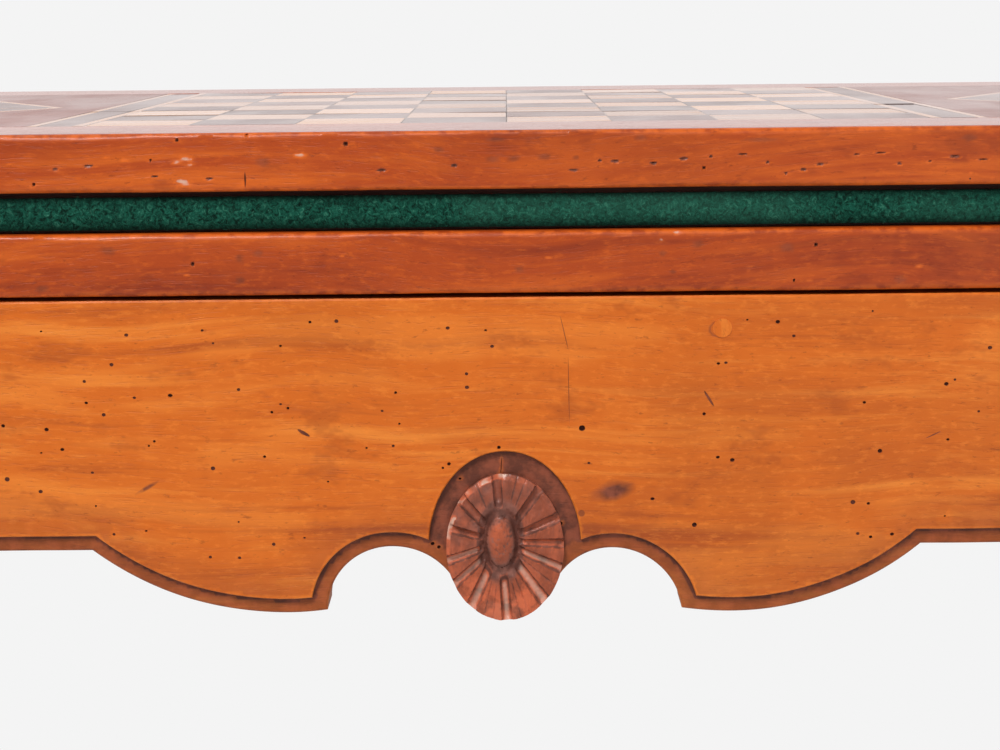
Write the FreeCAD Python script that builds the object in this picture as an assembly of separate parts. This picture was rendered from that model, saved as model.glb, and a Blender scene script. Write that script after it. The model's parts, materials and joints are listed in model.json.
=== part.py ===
import FreeCAD, Part

import math
import os

# A fold-over games table with a swivel top. The frame is four cabriole legs and four rails
# round a shallow well. A pair of leaves lies closed on it. The pair turns a quarter about a
# pivot in a cross rail, and the top leaf then folds over beside the lower one, so that a
# square baize playing surface lies on the whole frame. The closed top shows a chess board.
#
# Millimetres. X runs to the right along the front, Y to the back, Z up. The origin is on the
# floor under the middle of the closed top.

V = FreeCAD.Vector
X_AXIS = V(1, 0, 0)
Y_AXIS = V(0, 1, 0)
Z_AXIS = V(0, 0, 1)

# ---- driving dimensions: the top
LEAF_W = 860.0
LEAF_D = LEAF_W / 2
TOP_Z = 760.0
LOWER_T = 23.2
UPPER_T = 21.6
PAD_GAP = 14.6
PAD_CLEAR = 0.3
BAIZE_T = 1.35
BAIZE_SET_BACK = 3.0
PAD_BACK_MARGIN = 6.0
LOWER_PAD_REBATE = 1.0
UPPER_PAD_REBATE = 1.7
REBATE_DEPTH = 3.0
ARRIS = 2.2
CORNER_CUT = 2.4
SEAM_HALF = 0.3

# ---- the frame
FRAME_HX = 415.0
FRAME_HY = 213.0
RAIL_TOP = 699.2
RAIL_T = 22.0
POST = 48.0
STRAIGHT_Z = 604.6
KNEE_Z = 565.6
BRACKET_R = 60.0
BAND_W = 6.0
BAND_DEPTH = 2.5
TENON_L = 26.0
TENON_T = 9.0
TENON_LOW = 612.0
TENON_HIGH = 690.0

# ---- the middle of the front rail
LOBE_R = 114.5
LOBE_X = 83.1
LOBE_Z = 579.4
ARCH_R = 25.8
ARCH_X = 40.9
ARCH_Z = 578.7
ARCH_FOOT_X = 20.0
ARCH_FOOT_Z = 593.3
# how far the right side's lobe and arch lie to one side of these values, and the left side's
# to the other
LOBE_R_UNEVEN = -2.6
LOBE_X_UNEVEN = 0.75
LOBE_Z_UNEVEN = -0.5
ARCH_R_UNEVEN = 1.0
ARCH_X_UNEVEN = -1.3
ARCH_Z_UNEVEN = -1.6
SIDE_LOBE_Z = 581.6
ROSETTE_Z = 605.0
ROSETTE_A = 22.1
ROSETTE_B = 28.2
ROSETTE_PROUD = 0.8
TONGUE_INSET = 1.0
BOSS_A = 5.3
BOSS_B = 10.0
BOSS_RISE = 1.3
BOSS_X = -1.5
BOSS_UP = 2.4
HOOD_A = 28.4
HOOD_B = 36.7

# ---- the front right leg, from the post down to the toe: height, outward shift of the
# middle on both axes, half width, and chamfer of the outer corner
LEG_STATIONS = (
    (604.0, 0.0, 24.0, 0.8),
    (545.0, 3.6, 27.2, 5.0),
    (400.0, 1.0, 19.5, 5.8),
    (170.0, -12.5, 12.2, 4.3),
    (60.0, -8.0, 13.0, 4.3),
    (0.0, 4.5, 17.0, 6.0),
)

# ---- pegs, glue blocks and the well
PEG_R = 3.6
PEG_L = 30.0
PEG_PROUD = 0.3
PEG_SIDES = 8
PEG_HEIGHT_FRONT = 644.0
PEG_HEIGHT_SIDE = 664.0
BLOCK_LEG = 22.0
BLOCK_LOW = 636.0
BLOCK_HIGH = 690.0
CLEAT = 14.0
WELL_Z = 620.0
WELL_BOARD_T = 8.0
WELL_BOARDS = 3
WELL_GAP = 1.0
WELL_FIT = 0.5
RUB_HALF = 12.0
RUB_T = 1.1

# ---- the inlaid board
SQUARE = 40.5
BOARD_SHIFT = 2.0
FRONT_STRIP = 50.0
END_STRIP = 50.0
INLAY_T = 2.0
STRINGING_W = 4.5
BAND_INLAY_W = 13.5
OUTER_LINE_W = 4.0
LOZENGE_HX = 78.0
LOZENGE_HY = 128.0
LOZENGE_LINE = 4.0
STAR_R = 62.0
STAR_SHORT_R = 44.6
STAR_WAIST_R = 18.6
STAR_POINTS = 8
TONGUE_L = 8.0
TONGUE_T = 6.0
MITRE_REACH = 20.0

# ---- hinges
HINGE_X = (-290.0, 290.0)
HINGE_W = 60.0
HINGE_PLATE_T = 2.0
HINGE_REACH = 20.0
HINGE_SUNK = 0.2
BARREL_CLEAR = 0.4
BARREL_R = 3.2
PIN_R = 1.2
RUNNING_FIT = 0.05
KNUCKLE_GAP = 0.3

# ---- pivot
PIVOT_RAIL_W = 90.0
PIVOT_RAIL_T = 24.0
DOVETAIL_L = 12.0
DOVETAIL_NECK = 60.0
DOVETAIL_FLARE = 72.0
PLUG_X = 80.0
PLUG_R = 3.5
PLUG_L = 6.0
PLUG_PROUD = 0.2
BUSH_R = 9.0
PIVOT_PLATE = 84.0
PIVOT_PLATE_T = 3.0
PLATE_CLIP = 10.0
BOLT_R = 6.0
BOLT_HEAD = 20.0
BOLT_HEAD_T = 5.0
BOLT_END = 3.0
WASHER = 30.0
WASHER_T = 2.5
NUT_FLATS = 19.0
NUT_T = 9.0
UNDER_CLEAR = 0.4
STOP_PEG_R = 8.0
STOP_PEG_DROP = 22.0
STOP_CLEAR = 0.3
STOP_SOCKET = 12.0

# ---- worked out from them
LOWER_Z = TOP_Z - UPPER_T - PAD_GAP - LOWER_T
LOWER_TOP = LOWER_Z + LOWER_T
UPPER_Z = TOP_Z - UPPER_T
HINGE_Z = (LOWER_TOP + UPPER_Z) / 2
HINGE_Y = LEAF_D / 2
HX = LEAF_W / 2
FRONT_Y = -LEAF_D / 2
BACK_Y = HINGE_Y - SEAM_HALF
FIELD_FRONT = FRONT_Y + FRONT_STRIP
FIELD_BACK = FIELD_FRONT + 8 * SQUARE
FIELD_HX = HX - END_STRIP
BOARD_HALF = 4 * SQUARE
BOARD_Y = (FIELD_FRONT + FIELD_BACK) / 2
INLAY_Z = TOP_Z - INLAY_T
# a quarter turn about this point carries the hinge line over the middle of the frame
PIVOT_X = LEAF_D / 4
PIVOT_Y = LEAF_D / 4
INNER_X = FRAME_HX - RAIL_T
INNER_Y = FRAME_HY - RAIL_T
POST_IN_X = FRAME_HX - POST
POST_IN_Y = FRAME_HY - POST
POST_X = FRAME_HX - POST / 2
POST_Y = FRAME_HY - POST / 2
PIVOT_RAIL_Z = RAIL_TOP - PIVOT_RAIL_T
PLATE_FACE_Y = BACK_Y - HINGE_SUNK
STRINGING_AT = BOARD_HALF
BAND_AT = STRINGING_AT + STRINGING_W
OUTER_LINE_AT = BAND_AT + BAND_INLAY_W
PANEL_AT = OUTER_LINE_AT + OUTER_LINE_W


# ---------------------------------------------------------------- helpers

def save(name, *solids):
    """One node: one solid, or a group of like solids."""
    shape = solids[0] if len(solids) == 1 else Part.makeCompound(list(solids))
    shape.exportStep("parts/" + name + ".step")


def block(x0, x1, y0, y1, z0, z1):
    return Part.makeBox(x1 - x0, y1 - y0, z1 - z0, V(x0, y0, z0))


def rod(radius, start, end):
    run = end - start
    return Part.makeCylinder(radius, run.Length, start, run)


def joined(solids):
    return solids[0].multiFuse(solids[1:]).removeSplitter().Solids[0]


def cut_all(solid, tools):
    return solid.cut(Part.makeCompound(tools)) if tools else solid


def mirrored(solid, normal, at=V(0, 0, 0)):
    return solid.mirror(at, normal)


def plate_of(points, z0, z1):
    """An upright prism over a closed outline in plan."""
    corners = [V(x, y, z0) for x, y in points]
    face = Part.Face(Part.makePolygon(corners + corners[:1]))
    return face.extrude(V(0, 0, z1 - z0))


def arc_through(a, middle, b):
    return Part.Arc(V(a[0], 0, a[1]), V(middle[0], 0, middle[1]), V(b[0], 0, b[1])).toShape()


def line_to(a, b):
    return Part.makeLine(V(a[0], 0, a[1]), V(b[0], 0, b[1]))


def on_circle(cx, cz, radius, degrees):
    turn = math.radians(degrees)
    return cx + radius * math.cos(turn), cz + radius * math.sin(turn)


def oval(a, b, z):
    """A closed oval in the XZ plane, higher than it is wide."""
    ellipse = Part.Ellipse(V(0, 0, z + b), V(a, 0, z), V(0, 0, z))
    return Part.Face(Part.Wire(ellipse.toShape()))


# ---------------------------------------------------------------- rails

def bracket_edge(end_x, inset):
    """From the straight lower edge down to the leg: one quarter-round bracket."""
    drop = STRAIGHT_Z - KNEE_Z
    start_x = end_x - math.sqrt(2 * BRACKET_R * drop - drop * drop)
    centre_z = STRAIGHT_Z - BRACKET_R
    radius = BRACKET_R + inset
    sweep = math.degrees(math.asin((end_x - start_x) / radius))
    middle = on_circle(start_x, centre_z, radius, 90 - sweep / 2)
    end = on_circle(start_x, centre_z, radius, 90 - sweep)
    return start_x, arc_through((start_x, centre_z + radius), middle, end)


def circles_meet(a, a_r, b, b_r):
    """The crossing of two circles that lies to the right of the way from a to b."""
    across = b[0] - a[0]
    up = b[1] - a[1]
    apart = math.hypot(across, up)
    along = (apart ** 2 + a_r ** 2 - b_r ** 2) / (2 * apart)
    aside = math.sqrt(a_r ** 2 - along ** 2)
    return (a[0] + (along * across + aside * up) / apart,
            a[1] + (along * up - aside * across) / apart)


def lobe_step(middle_x, bottom_z, lobe_r, inset):
    """Where a lobe's arc meets the straight lower edge."""
    centre_z = bottom_z + lobe_r
    level = STRAIGHT_Z + inset
    return middle_x + math.sqrt((lobe_r - inset) ** 2 - (centre_z - level) ** 2), level


def closed_outline(right_half, end_x, left_half=None):
    """Mirror the left half of a lower edge and close it with the ends and the top. Where no
    left half is given, it's the same as the right one."""
    left_half = [e.mirror(V(0, 0, 0), X_AXIS) for e in left_half or right_half]
    low = min(v.Z for v in right_half[-1].Vertexes)
    ends = [
        line_to((end_x, low), (end_x, RAIL_TOP)),
        line_to((end_x, RAIL_TOP), (-end_x, RAIL_TOP)),
        line_to((-end_x, RAIL_TOP), (-end_x, low)),
    ]
    edges = Part.__sortEdges__(right_half + left_half + ends)
    return Part.Face(Part.Wire(edges))


def arch_flank(arch_x, top_z, inset):
    """The flank of an arch from the rosette up to its top: its foot and its middle."""
    reach = arch_x - ARCH_FOOT_X
    drop = top_z - inset - ARCH_FOOT_Z
    radius = (reach ** 2 + drop ** 2) / (2 * drop) + inset
    centre_z = top_z - radius
    foot = (arch_x - math.sqrt(radius ** 2 - (ARCH_FOOT_Z - centre_z) ** 2), ARCH_FOOT_Z)
    turn = math.degrees(math.acos((foot[0] - arch_x) / radius))
    return foot, on_circle(arch_x, centre_z, radius, (turn + 90) / 2)


def front_half(inset, side):
    """Half of the front rail: arch beside the rosette, cusp, lobe, step, straight, bracket.
    The halves differ a little, as they were cut by hand: side is 1 for the right one."""
    arch_x = ARCH_X + side * ARCH_X_UNEVEN
    arch_z = ARCH_Z + side * ARCH_Z_UNEVEN
    arch_r = ARCH_R + side * ARCH_R_UNEVEN + inset
    lobe_x = LOBE_X + side * LOBE_X_UNEVEN
    lobe_z = LOBE_Z + side * LOBE_Z_UNEVEN
    lobe_r = LOBE_R + side * LOBE_R_UNEVEN
    top = (arch_x, arch_z + arch_r)
    cusp = circles_meet((arch_x, arch_z), arch_r, (lobe_x, lobe_z + lobe_r), lobe_r - inset)
    foot, over = arch_flank(arch_x, top[1], inset)
    step = lobe_step(lobe_x, lobe_z, lobe_r, inset)
    start_x, bracket = bracket_edge(POST_IN_X, inset)
    return [
        line_to((0, foot[1]), foot),
        arc_through(foot, over, top),
        arc_through(top, on_circle(arch_x, arch_z, arch_r, 45), cusp),
        arc_through(cusp, (lobe_x, lobe_z + inset), step),
        line_to(step, (start_x, STRAIGHT_Z + inset)),
        bracket,
    ]


def front_outline(inset):
    return closed_outline(front_half(inset, 1), POST_IN_X, front_half(inset, -1))


def side_outline(inset):
    """A side rail: one shallow lobe in the middle between two brackets."""
    start_x, bracket = bracket_edge(POST_IN_Y, inset)
    step = lobe_step(0, SIDE_LOBE_Z, LOBE_R, inset)
    radius = LOBE_R - inset
    half_turn = math.degrees(math.asin(step[0] / radius)) / 2
    middle = on_circle(0, SIDE_LOBE_Z + LOBE_R, radius, half_turn - 90)
    return closed_outline([
        arc_through((0, SIDE_LOBE_Z + inset), middle, step),
        line_to(step, (start_x, STRAIGHT_Z + inset)),
        bracket,
    ], POST_IN_Y)


def back_outline():
    start_x, bracket = bracket_edge(POST_IN_X, 0.0)
    return closed_outline([line_to((0, STRAIGHT_Z), (start_x, STRAIGHT_Z)), bracket], POST_IN_X)


def banded_board(outline):
    """A rail in the XZ plane with its front at y=0: the board, and the face that stands out
    of it above the sunk band along its lower edge."""
    behind = outline(0.0)
    behind.translate(V(0, BAND_DEPTH, 0))
    board = behind.extrude(V(0, RAIL_T - BAND_DEPTH, 0))
    face = outline(BAND_W).extrude(V(0, BAND_DEPTH, 0))
    return board, face


def tenons(end_x):
    """The two tongues that a rail's ends carry, for a board with its face at y=0."""
    y0 = (RAIL_T - TENON_T) / 2
    right = block(end_x, end_x + TENON_L, y0, y0 + TENON_T, TENON_LOW, TENON_HIGH)
    return [right, mirrored(right, X_AXIS)]


def moved(solid, x=0.0, y=0.0, z=0.0, turn=0.0):
    copy = solid.copy()
    copy.rotate(V(0, 0, 0), Z_AXIS, turn)
    copy.translate(V(x, y, z))
    return copy


def rail_blanks():
    """The four rails with their tenons, in place, before pegs and notches are cut."""
    board, face = banded_board(front_outline)
    backing = oval(ROSETTE_A - TONGUE_INSET, ROSETTE_B - TONGUE_INSET, ROSETTE_Z)
    backing.translate(V(0, BAND_DEPTH, 0))
    backing = backing.extrude(V(0, RAIL_T - BAND_DEPTH, 0))
    hood = oval(HOOD_A, HOOD_B, ROSETTE_Z).extrude(V(0, BAND_DEPTH, 0))
    front = joined([board, face.cut(hood), backing] + tenons(POST_IN_X))
    side = joined(list(banded_board(side_outline)) + tenons(POST_IN_Y))
    back = back_outline().extrude(V(0, RAIL_T, 0))
    back = joined([back] + tenons(POST_IN_X))
    return {
        "front_rail": moved(front, y=-FRAME_HY),
        "right_rail": moved(side, x=FRAME_HX, turn=90),
        "back_rail": moved(back, y=FRAME_HY, turn=180),
        "left_rail": moved(side, x=-FRAME_HX, turn=-90),
    }


# ---------------------------------------------------------------- legs

def leg_section(z, shift, half, chamfer):
    """A square with its outer corner cut off, shifted outwards from the post's middle."""
    corners = ((half, half), (-half, half), (-half, -half), (half - chamfer, -half),
               (half, chamfer - half))
    points = [V(POST_X + shift + u, -POST_Y - shift + v, z) for u, v in corners]
    return Part.makePolygon(points + points[:1])


def cabriole_leg():
    """The front right leg: a square post over an S-curved shaft on a turned-out foot."""
    shaft = Part.makeLoft([leg_section(*station) for station in LEG_STATIONS], True, False)
    post = block(POST_IN_X, FRAME_HX, -FRAME_HY, -POST_IN_Y, LEG_STATIONS[0][0], RAIL_TOP)
    return joined([post, shaft])


def corner_signs():
    return {
        "front_left": (-1, 1),
        "front_right": (1, 1),
        "back_left": (-1, -1),
        "back_right": (1, -1),
    }


def in_corner(solid, sx, sy):
    """Carry a thing made at the front right corner to another corner."""
    if sx < 0:
        solid = mirrored(solid, X_AXIS)
    if sy < 0:
        solid = mirrored(solid, Y_AXIS)
    return solid


# ---------------------------------------------------------------- pegs, blocks, well

def whittled_peg():
    """A many-sided peg along Y, its outer end at the origin."""
    step = 360.0 / PEG_SIDES
    corners = []
    for i in range(PEG_SIDES):
        x, z = on_circle(0, 0, PEG_R, step * (i + 0.5))
        corners.append(V(x, 0, z))
    face = Part.Face(Part.makePolygon(corners + corners[:1]))
    return face.extrude(V(0, PEG_PROUD + PEG_L, 0))


def corner_pegs():
    """The two pegs of the front right corner, one through each tenon."""
    peg = whittled_peg()
    return [
        moved(peg, POST_IN_X + TENON_L / 2, -FRAME_HY - PEG_PROUD, PEG_HEIGHT_FRONT),
        moved(peg, FRAME_HX + PEG_PROUD, -POST_IN_Y - TENON_L / 2, PEG_HEIGHT_SIDE, 90),
    ]


def glue_block(x, y):
    """A triangular block in the corner at a place."""
    outline = ((x, y), (x, y + BLOCK_LEG), (x - BLOCK_LEG, y))
    return plate_of(outline, BLOCK_LOW, BLOCK_HIGH)


def corner_blocks():
    """Two glue blocks beside the post of the front right corner."""
    return [glue_block(POST_IN_X, -INNER_Y), glue_block(INNER_X, -POST_IN_Y)]


def well_cleats():
    """Strips on the rails' inner faces, under the bottom of the well."""
    z0 = WELL_Z - CLEAT
    long_one = block(-POST_IN_X, POST_IN_X, -INNER_Y, -INNER_Y + CLEAT, z0, WELL_Z)
    short_one = block(INNER_X - CLEAT, INNER_X, -POST_IN_Y, POST_IN_Y, z0, WELL_Z)
    return [long_one, mirrored(long_one, Y_AXIS), short_one, mirrored(short_one, X_AXIS)]


def well_boards():
    """Thin boards side by side, notched round the posts, with open joints."""
    high = WELL_Z + WELL_BOARD_T
    notch = block(POST_IN_X - WELL_FIT, INNER_X, -INNER_Y, -POST_IN_Y + WELL_FIT, WELL_Z, high)
    notches = [in_corner(notch, sx, sy) for sx, sy in corner_signs().values()]
    width = (2 * INNER_Y - (WELL_BOARDS + 1) * WELL_GAP) / WELL_BOARDS
    boards = []
    for i in range(WELL_BOARDS):
        y0 = -INNER_Y + WELL_GAP + i * (width + WELL_GAP)
        board = block(-INNER_X + WELL_FIT, INNER_X - WELL_FIT, y0, y0 + width, WELL_Z, high)
        boards.append(cut_all(board, notches).Solids[0])
    return boards


# ---------------------------------------------------------------- pivot

def dovetails():
    """The flared ends of the pivot rail, let into the tops of the front and back rails."""
    neck = DOVETAIL_NECK / 2
    flare = DOVETAIL_FLARE / 2
    near = INNER_Y
    far = INNER_Y + DOVETAIL_L
    outline = ((PIVOT_X - neck, near), (PIVOT_X + neck, near),
               (PIVOT_X + flare, far), (PIVOT_X - flare, far))
    back = plate_of(outline, PIVOT_RAIL_Z, RAIL_TOP)
    return [back, mirrored(back, Y_AXIS)]


def end_plugs():
    """Round plugs over the screws that hold the ends of the pivot rail."""
    z = PIVOT_RAIL_Z + PIVOT_RAIL_T / 2
    outer = V(PLUG_X, -FRAME_HY - PLUG_PROUD, z)
    front = rod(PLUG_R, outer, V(PLUG_X, -FRAME_HY + PLUG_L, z))
    return [front, mirrored(front, Y_AXIS)]


def pivot_rail():
    """Cross rail that carries the pivot."""
    left = PIVOT_X - PIVOT_RAIL_W / 2
    right = PIVOT_X + PIVOT_RAIL_W / 2
    board = block(left, right, -INNER_Y, INNER_Y, PIVOT_RAIL_Z, RAIL_TOP)
    rail = joined([board] + dovetails())
    bore = rod(BUSH_R, V(PIVOT_X, PIVOT_Y, PIVOT_RAIL_Z), V(PIVOT_X, PIVOT_Y, RAIL_TOP))
    return rail.cut(bore)


def pivot_bush():
    low = V(PIVOT_X, PIVOT_Y, PIVOT_RAIL_Z)
    high = V(PIVOT_X, PIVOT_Y, RAIL_TOP)
    return rod(BUSH_R, low, high).cut(rod(BOLT_R + RUNNING_FIT, low, high))


def pivot_square(width, low, high):
    """A square block round the pivot's line."""
    half = width / 2
    return block(PIVOT_X - half, PIVOT_X + half, PIVOT_Y - half, PIVOT_Y + half, low, high)


def pivot_plate_blank():
    """Square iron plate with clipped corners, let into the underside of the lower leaf."""
    half = PIVOT_PLATE / 2
    clip = half - PLATE_CLIP
    corners = ((half, -clip), (half, clip), (clip, half), (-clip, half),
               (-half, clip), (-half, -clip), (-clip, -half), (clip, -half))
    outline = [(PIVOT_X + u, PIVOT_Y + v) for u, v in corners]
    return plate_of(outline, LOWER_Z, LOWER_Z + PIVOT_PLATE_T)


def pivot_bolt():
    """A bolt whose square head sits on the plate, sunk in the leaf."""
    washer_low = PIVOT_RAIL_Z - UNDER_CLEAR - WASHER_T
    end = V(PIVOT_X, PIVOT_Y, washer_low - NUT_T - BOLT_END)
    neck = LOWER_Z + PIVOT_PLATE_T
    shank = rod(BOLT_R, end, V(PIVOT_X, PIVOT_Y, neck))
    return joined([shank, pivot_square(BOLT_HEAD, neck, neck + BOLT_HEAD_T)])


def pivot_washer():
    high = PIVOT_RAIL_Z - UNDER_CLEAR
    low = high - WASHER_T
    bore = rod(BOLT_R, V(PIVOT_X, PIVOT_Y, low), V(PIVOT_X, PIVOT_Y, high))
    return pivot_square(WASHER, low, high).cut(bore)


def pivot_nut():
    high = PIVOT_RAIL_Z - UNDER_CLEAR - WASHER_T
    corner = NUT_FLATS / math.sqrt(3)
    outline = [on_circle(PIVOT_X, PIVOT_Y, corner, 60 * i) for i in range(6)]
    nut = plate_of(outline, high - NUT_T, high)
    bore = rod(BOLT_R, V(PIVOT_X, PIVOT_Y, high - NUT_T), V(PIVOT_X, PIVOT_Y, high))
    return nut.cut(bore)


def stop_peg():
    """A turned peg that meets the back rail when closed and the front rail when turned."""
    y = INNER_Y - STOP_PEG_R - STOP_CLEAR
    x = PIVOT_X - (y + PIVOT_Y)
    return rod(STOP_PEG_R, V(x, y, LOWER_Z - STOP_PEG_DROP), V(x, y, LOWER_Z + STOP_SOCKET))


# ---------------------------------------------------------------- hinges

def hinge_recesses(z0, z1):
    half = HINGE_W / 2
    return [block(x - half, x + half, PLATE_FACE_Y - HINGE_PLATE_T, HINGE_Y, z0, z1)
            for x in HINGE_X]


def knuckle_spans(x, outer):
    """Stretches of the barrel that belong to the plate with the outer or middle knuckles."""
    half = HINGE_W / 2
    third = HINGE_W / 6
    gap = KNUCKLE_GAP / 2
    if outer:
        return ((x - half, x - third - gap), (x + third + gap, x + half))
    return ((x - third + gap, x + third - gap),)


def hinge_plate(x, outer):
    """The lower hinge plate; the upper one is its mirror image with the middle knuckle."""
    half = HINGE_W / 2
    back = PLATE_FACE_Y - HINGE_PLATE_T
    clear_z = HINGE_Z - BARREL_R - BARREL_CLEAR
    low_z = LOWER_TOP - HINGE_REACH
    parts = [block(x - half, x + half, back, PLATE_FACE_Y, low_z, clear_z)]
    for x0, x1 in knuckle_spans(x, outer):
        parts.append(rod(BARREL_R, V(x0, HINGE_Y, HINGE_Z), V(x1, HINGE_Y, HINGE_Z)))
        parts.append(block(x0, x1, back, PLATE_FACE_Y, clear_z, HINGE_Z))
    ends = V(x - HINGE_W, HINGE_Y, HINGE_Z), V(x + HINGE_W, HINGE_Y, HINGE_Z)
    return joined(parts).cut(rod(PIN_R + RUNNING_FIT, *ends))


def hinge_pins():
    half = HINGE_W / 2
    return [rod(PIN_R, V(x - half, HINGE_Y, HINGE_Z), V(x + half, HINGE_Y, HINGE_Z))
            for x in HINGE_X]


def flipped(solid):
    """Mirror a thing from the lower leaf to the top leaf about the seam."""
    return mirrored(solid, Z_AXIS, V(0, 0, HINGE_Z))


# ---------------------------------------------------------------- leaves

def upright(edge):
    return edge.BoundBox.ZLength > max(edge.BoundBox.XLength, edge.BoundBox.YLength)


def leaf_blank(z0, z1):
    """A leaf with its front corners cut off and its arrises rounded, all but those of the
    hinged edge."""
    blank = block(-HX, HX, FRONT_Y, BACK_Y, z0, z1)
    corners = [e for e in blank.Edges if upright(e) and e.CenterOfMass.y < 0]
    blank = blank.makeChamfer(CORNER_CUT, corners)
    arrises = [e for e in blank.Edges if not upright(e) and e.CenterOfMass.y < BACK_Y - 1]
    return blank.makeFillet(ARRIS, arrises)


def pad_block(inset, low, high):
    """A block on the lower leaf, set back by an inset from the pad's outline."""
    side = HX - BAIZE_SET_BACK - inset
    front = FRONT_Y + BAIZE_SET_BACK + inset
    back = HINGE_Y - PAD_BACK_MARGIN - inset
    return block(-side, side, front, back, low, high)


def pad_panel(rebate):
    """The raised playing panel on the lower leaf, with a rebate where it meets the wood."""
    high = HINGE_Z - PAD_CLEAR / 2 - BAIZE_T
    foot = pad_block(BAIZE_T + REBATE_DEPTH, LOWER_TOP, LOWER_TOP + rebate)
    return joined([foot, pad_block(BAIZE_T, LOWER_TOP + rebate, high)])


def baize_cover(rebate):
    """Cloth glued over the panel and down its edges as far as the rebate."""
    high = HINGE_Z - PAD_CLEAR / 2
    outer = pad_block(0.0, LOWER_TOP + rebate, high)
    rim = [e for e in outer.Edges if abs(e.CenterOfMass.z - high) < 0.01]
    return outer.makeFillet(BAIZE_T, rim).cut(pad_panel(rebate))


def tongue():
    z = (TOP_Z + UPPER_Z - INLAY_T) / 2
    return block(-FIELD_HX - TONGUE_L, FIELD_HX + TONGUE_L, FIELD_FRONT - TONGUE_L,
                 FIELD_BACK + TONGUE_L, z - TONGUE_T / 2, z + TONGUE_T / 2)


def core_region(z0, z1):
    return block(-FIELD_HX, FIELD_HX, FIELD_FRONT, FIELD_BACK, z0, z1)


def leaf_strips():
    """The frame round the inlaid core, grooved for its tongue and cut at the mitres."""
    ring = leaf_blank(UPPER_Z, TOP_Z).cut(core_region(UPPER_Z, TOP_Z)).cut(tongue())
    slope = (HINGE_Y - FIELD_BACK) / END_STRIP
    far = HX + MITRE_REACH
    far_front = FIELD_FRONT - END_STRIP - MITRE_REACH
    far_back = FIELD_BACK + slope * (END_STRIP + MITRE_REACH)
    front = plate_of(((-far, far_front), (far, far_front), (FIELD_HX, FIELD_FRONT),
                      (-FIELD_HX, FIELD_FRONT)), UPPER_Z, TOP_Z)
    back = plate_of(((-far, far_back), (-FIELD_HX, FIELD_BACK), (FIELD_HX, FIELD_BACK),
                     (far, far_back)), UPPER_Z, TOP_Z)
    end = plate_of(((FIELD_HX, FIELD_FRONT), (far, far_front), (far, far_back),
                    (FIELD_HX, FIELD_BACK)), UPPER_Z, TOP_Z)
    return ring.common(front), ring.common(back), ring.common(end), ring.common(
        mirrored(end, X_AXIS))


def inlay(x0, x1, y0, y1):
    return block(x0, x1, y0, y1, INLAY_Z, TOP_Z)


def chess_squares(light):
    """The 32 squares of one colour; the near left corner square is a light one."""
    squares = []
    for column in range(8):
        for row in range(8):
            if ((column + row) % 2 == 0) == light:
                x = BOARD_SHIFT - BOARD_HALF + column * SQUARE
                y = FIELD_FRONT + row * SQUARE
                squares.append(inlay(x, x + SQUARE, y, y + SQUARE))
    return squares


def side_strips(start, width):
    """A pair of inlaid strips that run front to back, one each side of the board."""
    right = inlay(BOARD_SHIFT + start, BOARD_SHIFT + start + width, FIELD_FRONT, FIELD_BACK)
    left = inlay(BOARD_SHIFT - start - width, BOARD_SHIFT - start, FIELD_FRONT, FIELD_BACK)
    return [left, right]


def panel_middles():
    right = (BOARD_SHIFT + PANEL_AT + FIELD_HX) / 2
    left = (BOARD_SHIFT - PANEL_AT - FIELD_HX) / 2
    return left, right


def lozenge(x, inset):
    """A lozenge prism; the inset is measured square to its sides."""
    slant = math.hypot(LOZENGE_HX, LOZENGE_HY)
    hx = LOZENGE_HX - inset * slant / LOZENGE_HY
    hy = LOZENGE_HY - inset * slant / LOZENGE_HX
    corners = ((x + hx, BOARD_Y), (x, BOARD_Y + hy), (x - hx, BOARD_Y), (x, BOARD_Y - hy))
    return plate_of(corners, INLAY_Z, TOP_Z)


def star_points(x, light):
    """Half of each point of a compass star; the other half is of the other wood."""
    step = 360.0 / STAR_POINTS
    side = 0.5 if light else -0.5
    points = []
    for i in range(STAR_POINTS):
        tip_r = STAR_R if i % 2 == 0 else STAR_SHORT_R
        tip = on_circle(x, BOARD_Y, tip_r, step * i + 90)
        flank = on_circle(x, BOARD_Y, STAR_WAIST_R, step * (i + side) + 90)
        corners = ((x, BOARD_Y), tip, flank)
        points.append(plate_of(corners, INLAY_Z, TOP_Z))
    return points


def side_panel(x0, x1, lozenge_x):
    panel = inlay(x0, x1, FIELD_FRONT, FIELD_BACK)
    return panel.cut(lozenge(lozenge_x, 0.0))


# ---------------------------------------------------------------- the rosette

def rosette():
    """The blank of the oval flower with its boss, before the petals are carved."""
    seat = -FRAME_HY + BAND_DEPTH
    height = BAND_DEPTH + ROSETTE_PROUD
    outline = oval(ROSETTE_A, ROSETTE_B, ROSETTE_Z)
    outline.translate(V(0, seat, 0))
    boss = oval(BOSS_A, BOSS_B, ROSETTE_Z + BOSS_UP)
    boss.translate(V(BOSS_X, seat, 0))
    flower = outline.extrude(V(0, -height, 0))
    return joined([flower, boss.extrude(V(0, -height - BOSS_RISE, 0))])


# ---------------------------------------------------------------- bodies

def rub_pads():
    """Felt squares on the tops of the posts."""
    pad = block(POST_X - RUB_HALF, POST_X + RUB_HALF, -POST_Y - RUB_HALF, -POST_Y + RUB_HALF,
                RAIL_TOP, RAIL_TOP + RUB_T)
    return [in_corner(pad, sx, sy) for sx, sy in corner_signs().values()]


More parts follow.
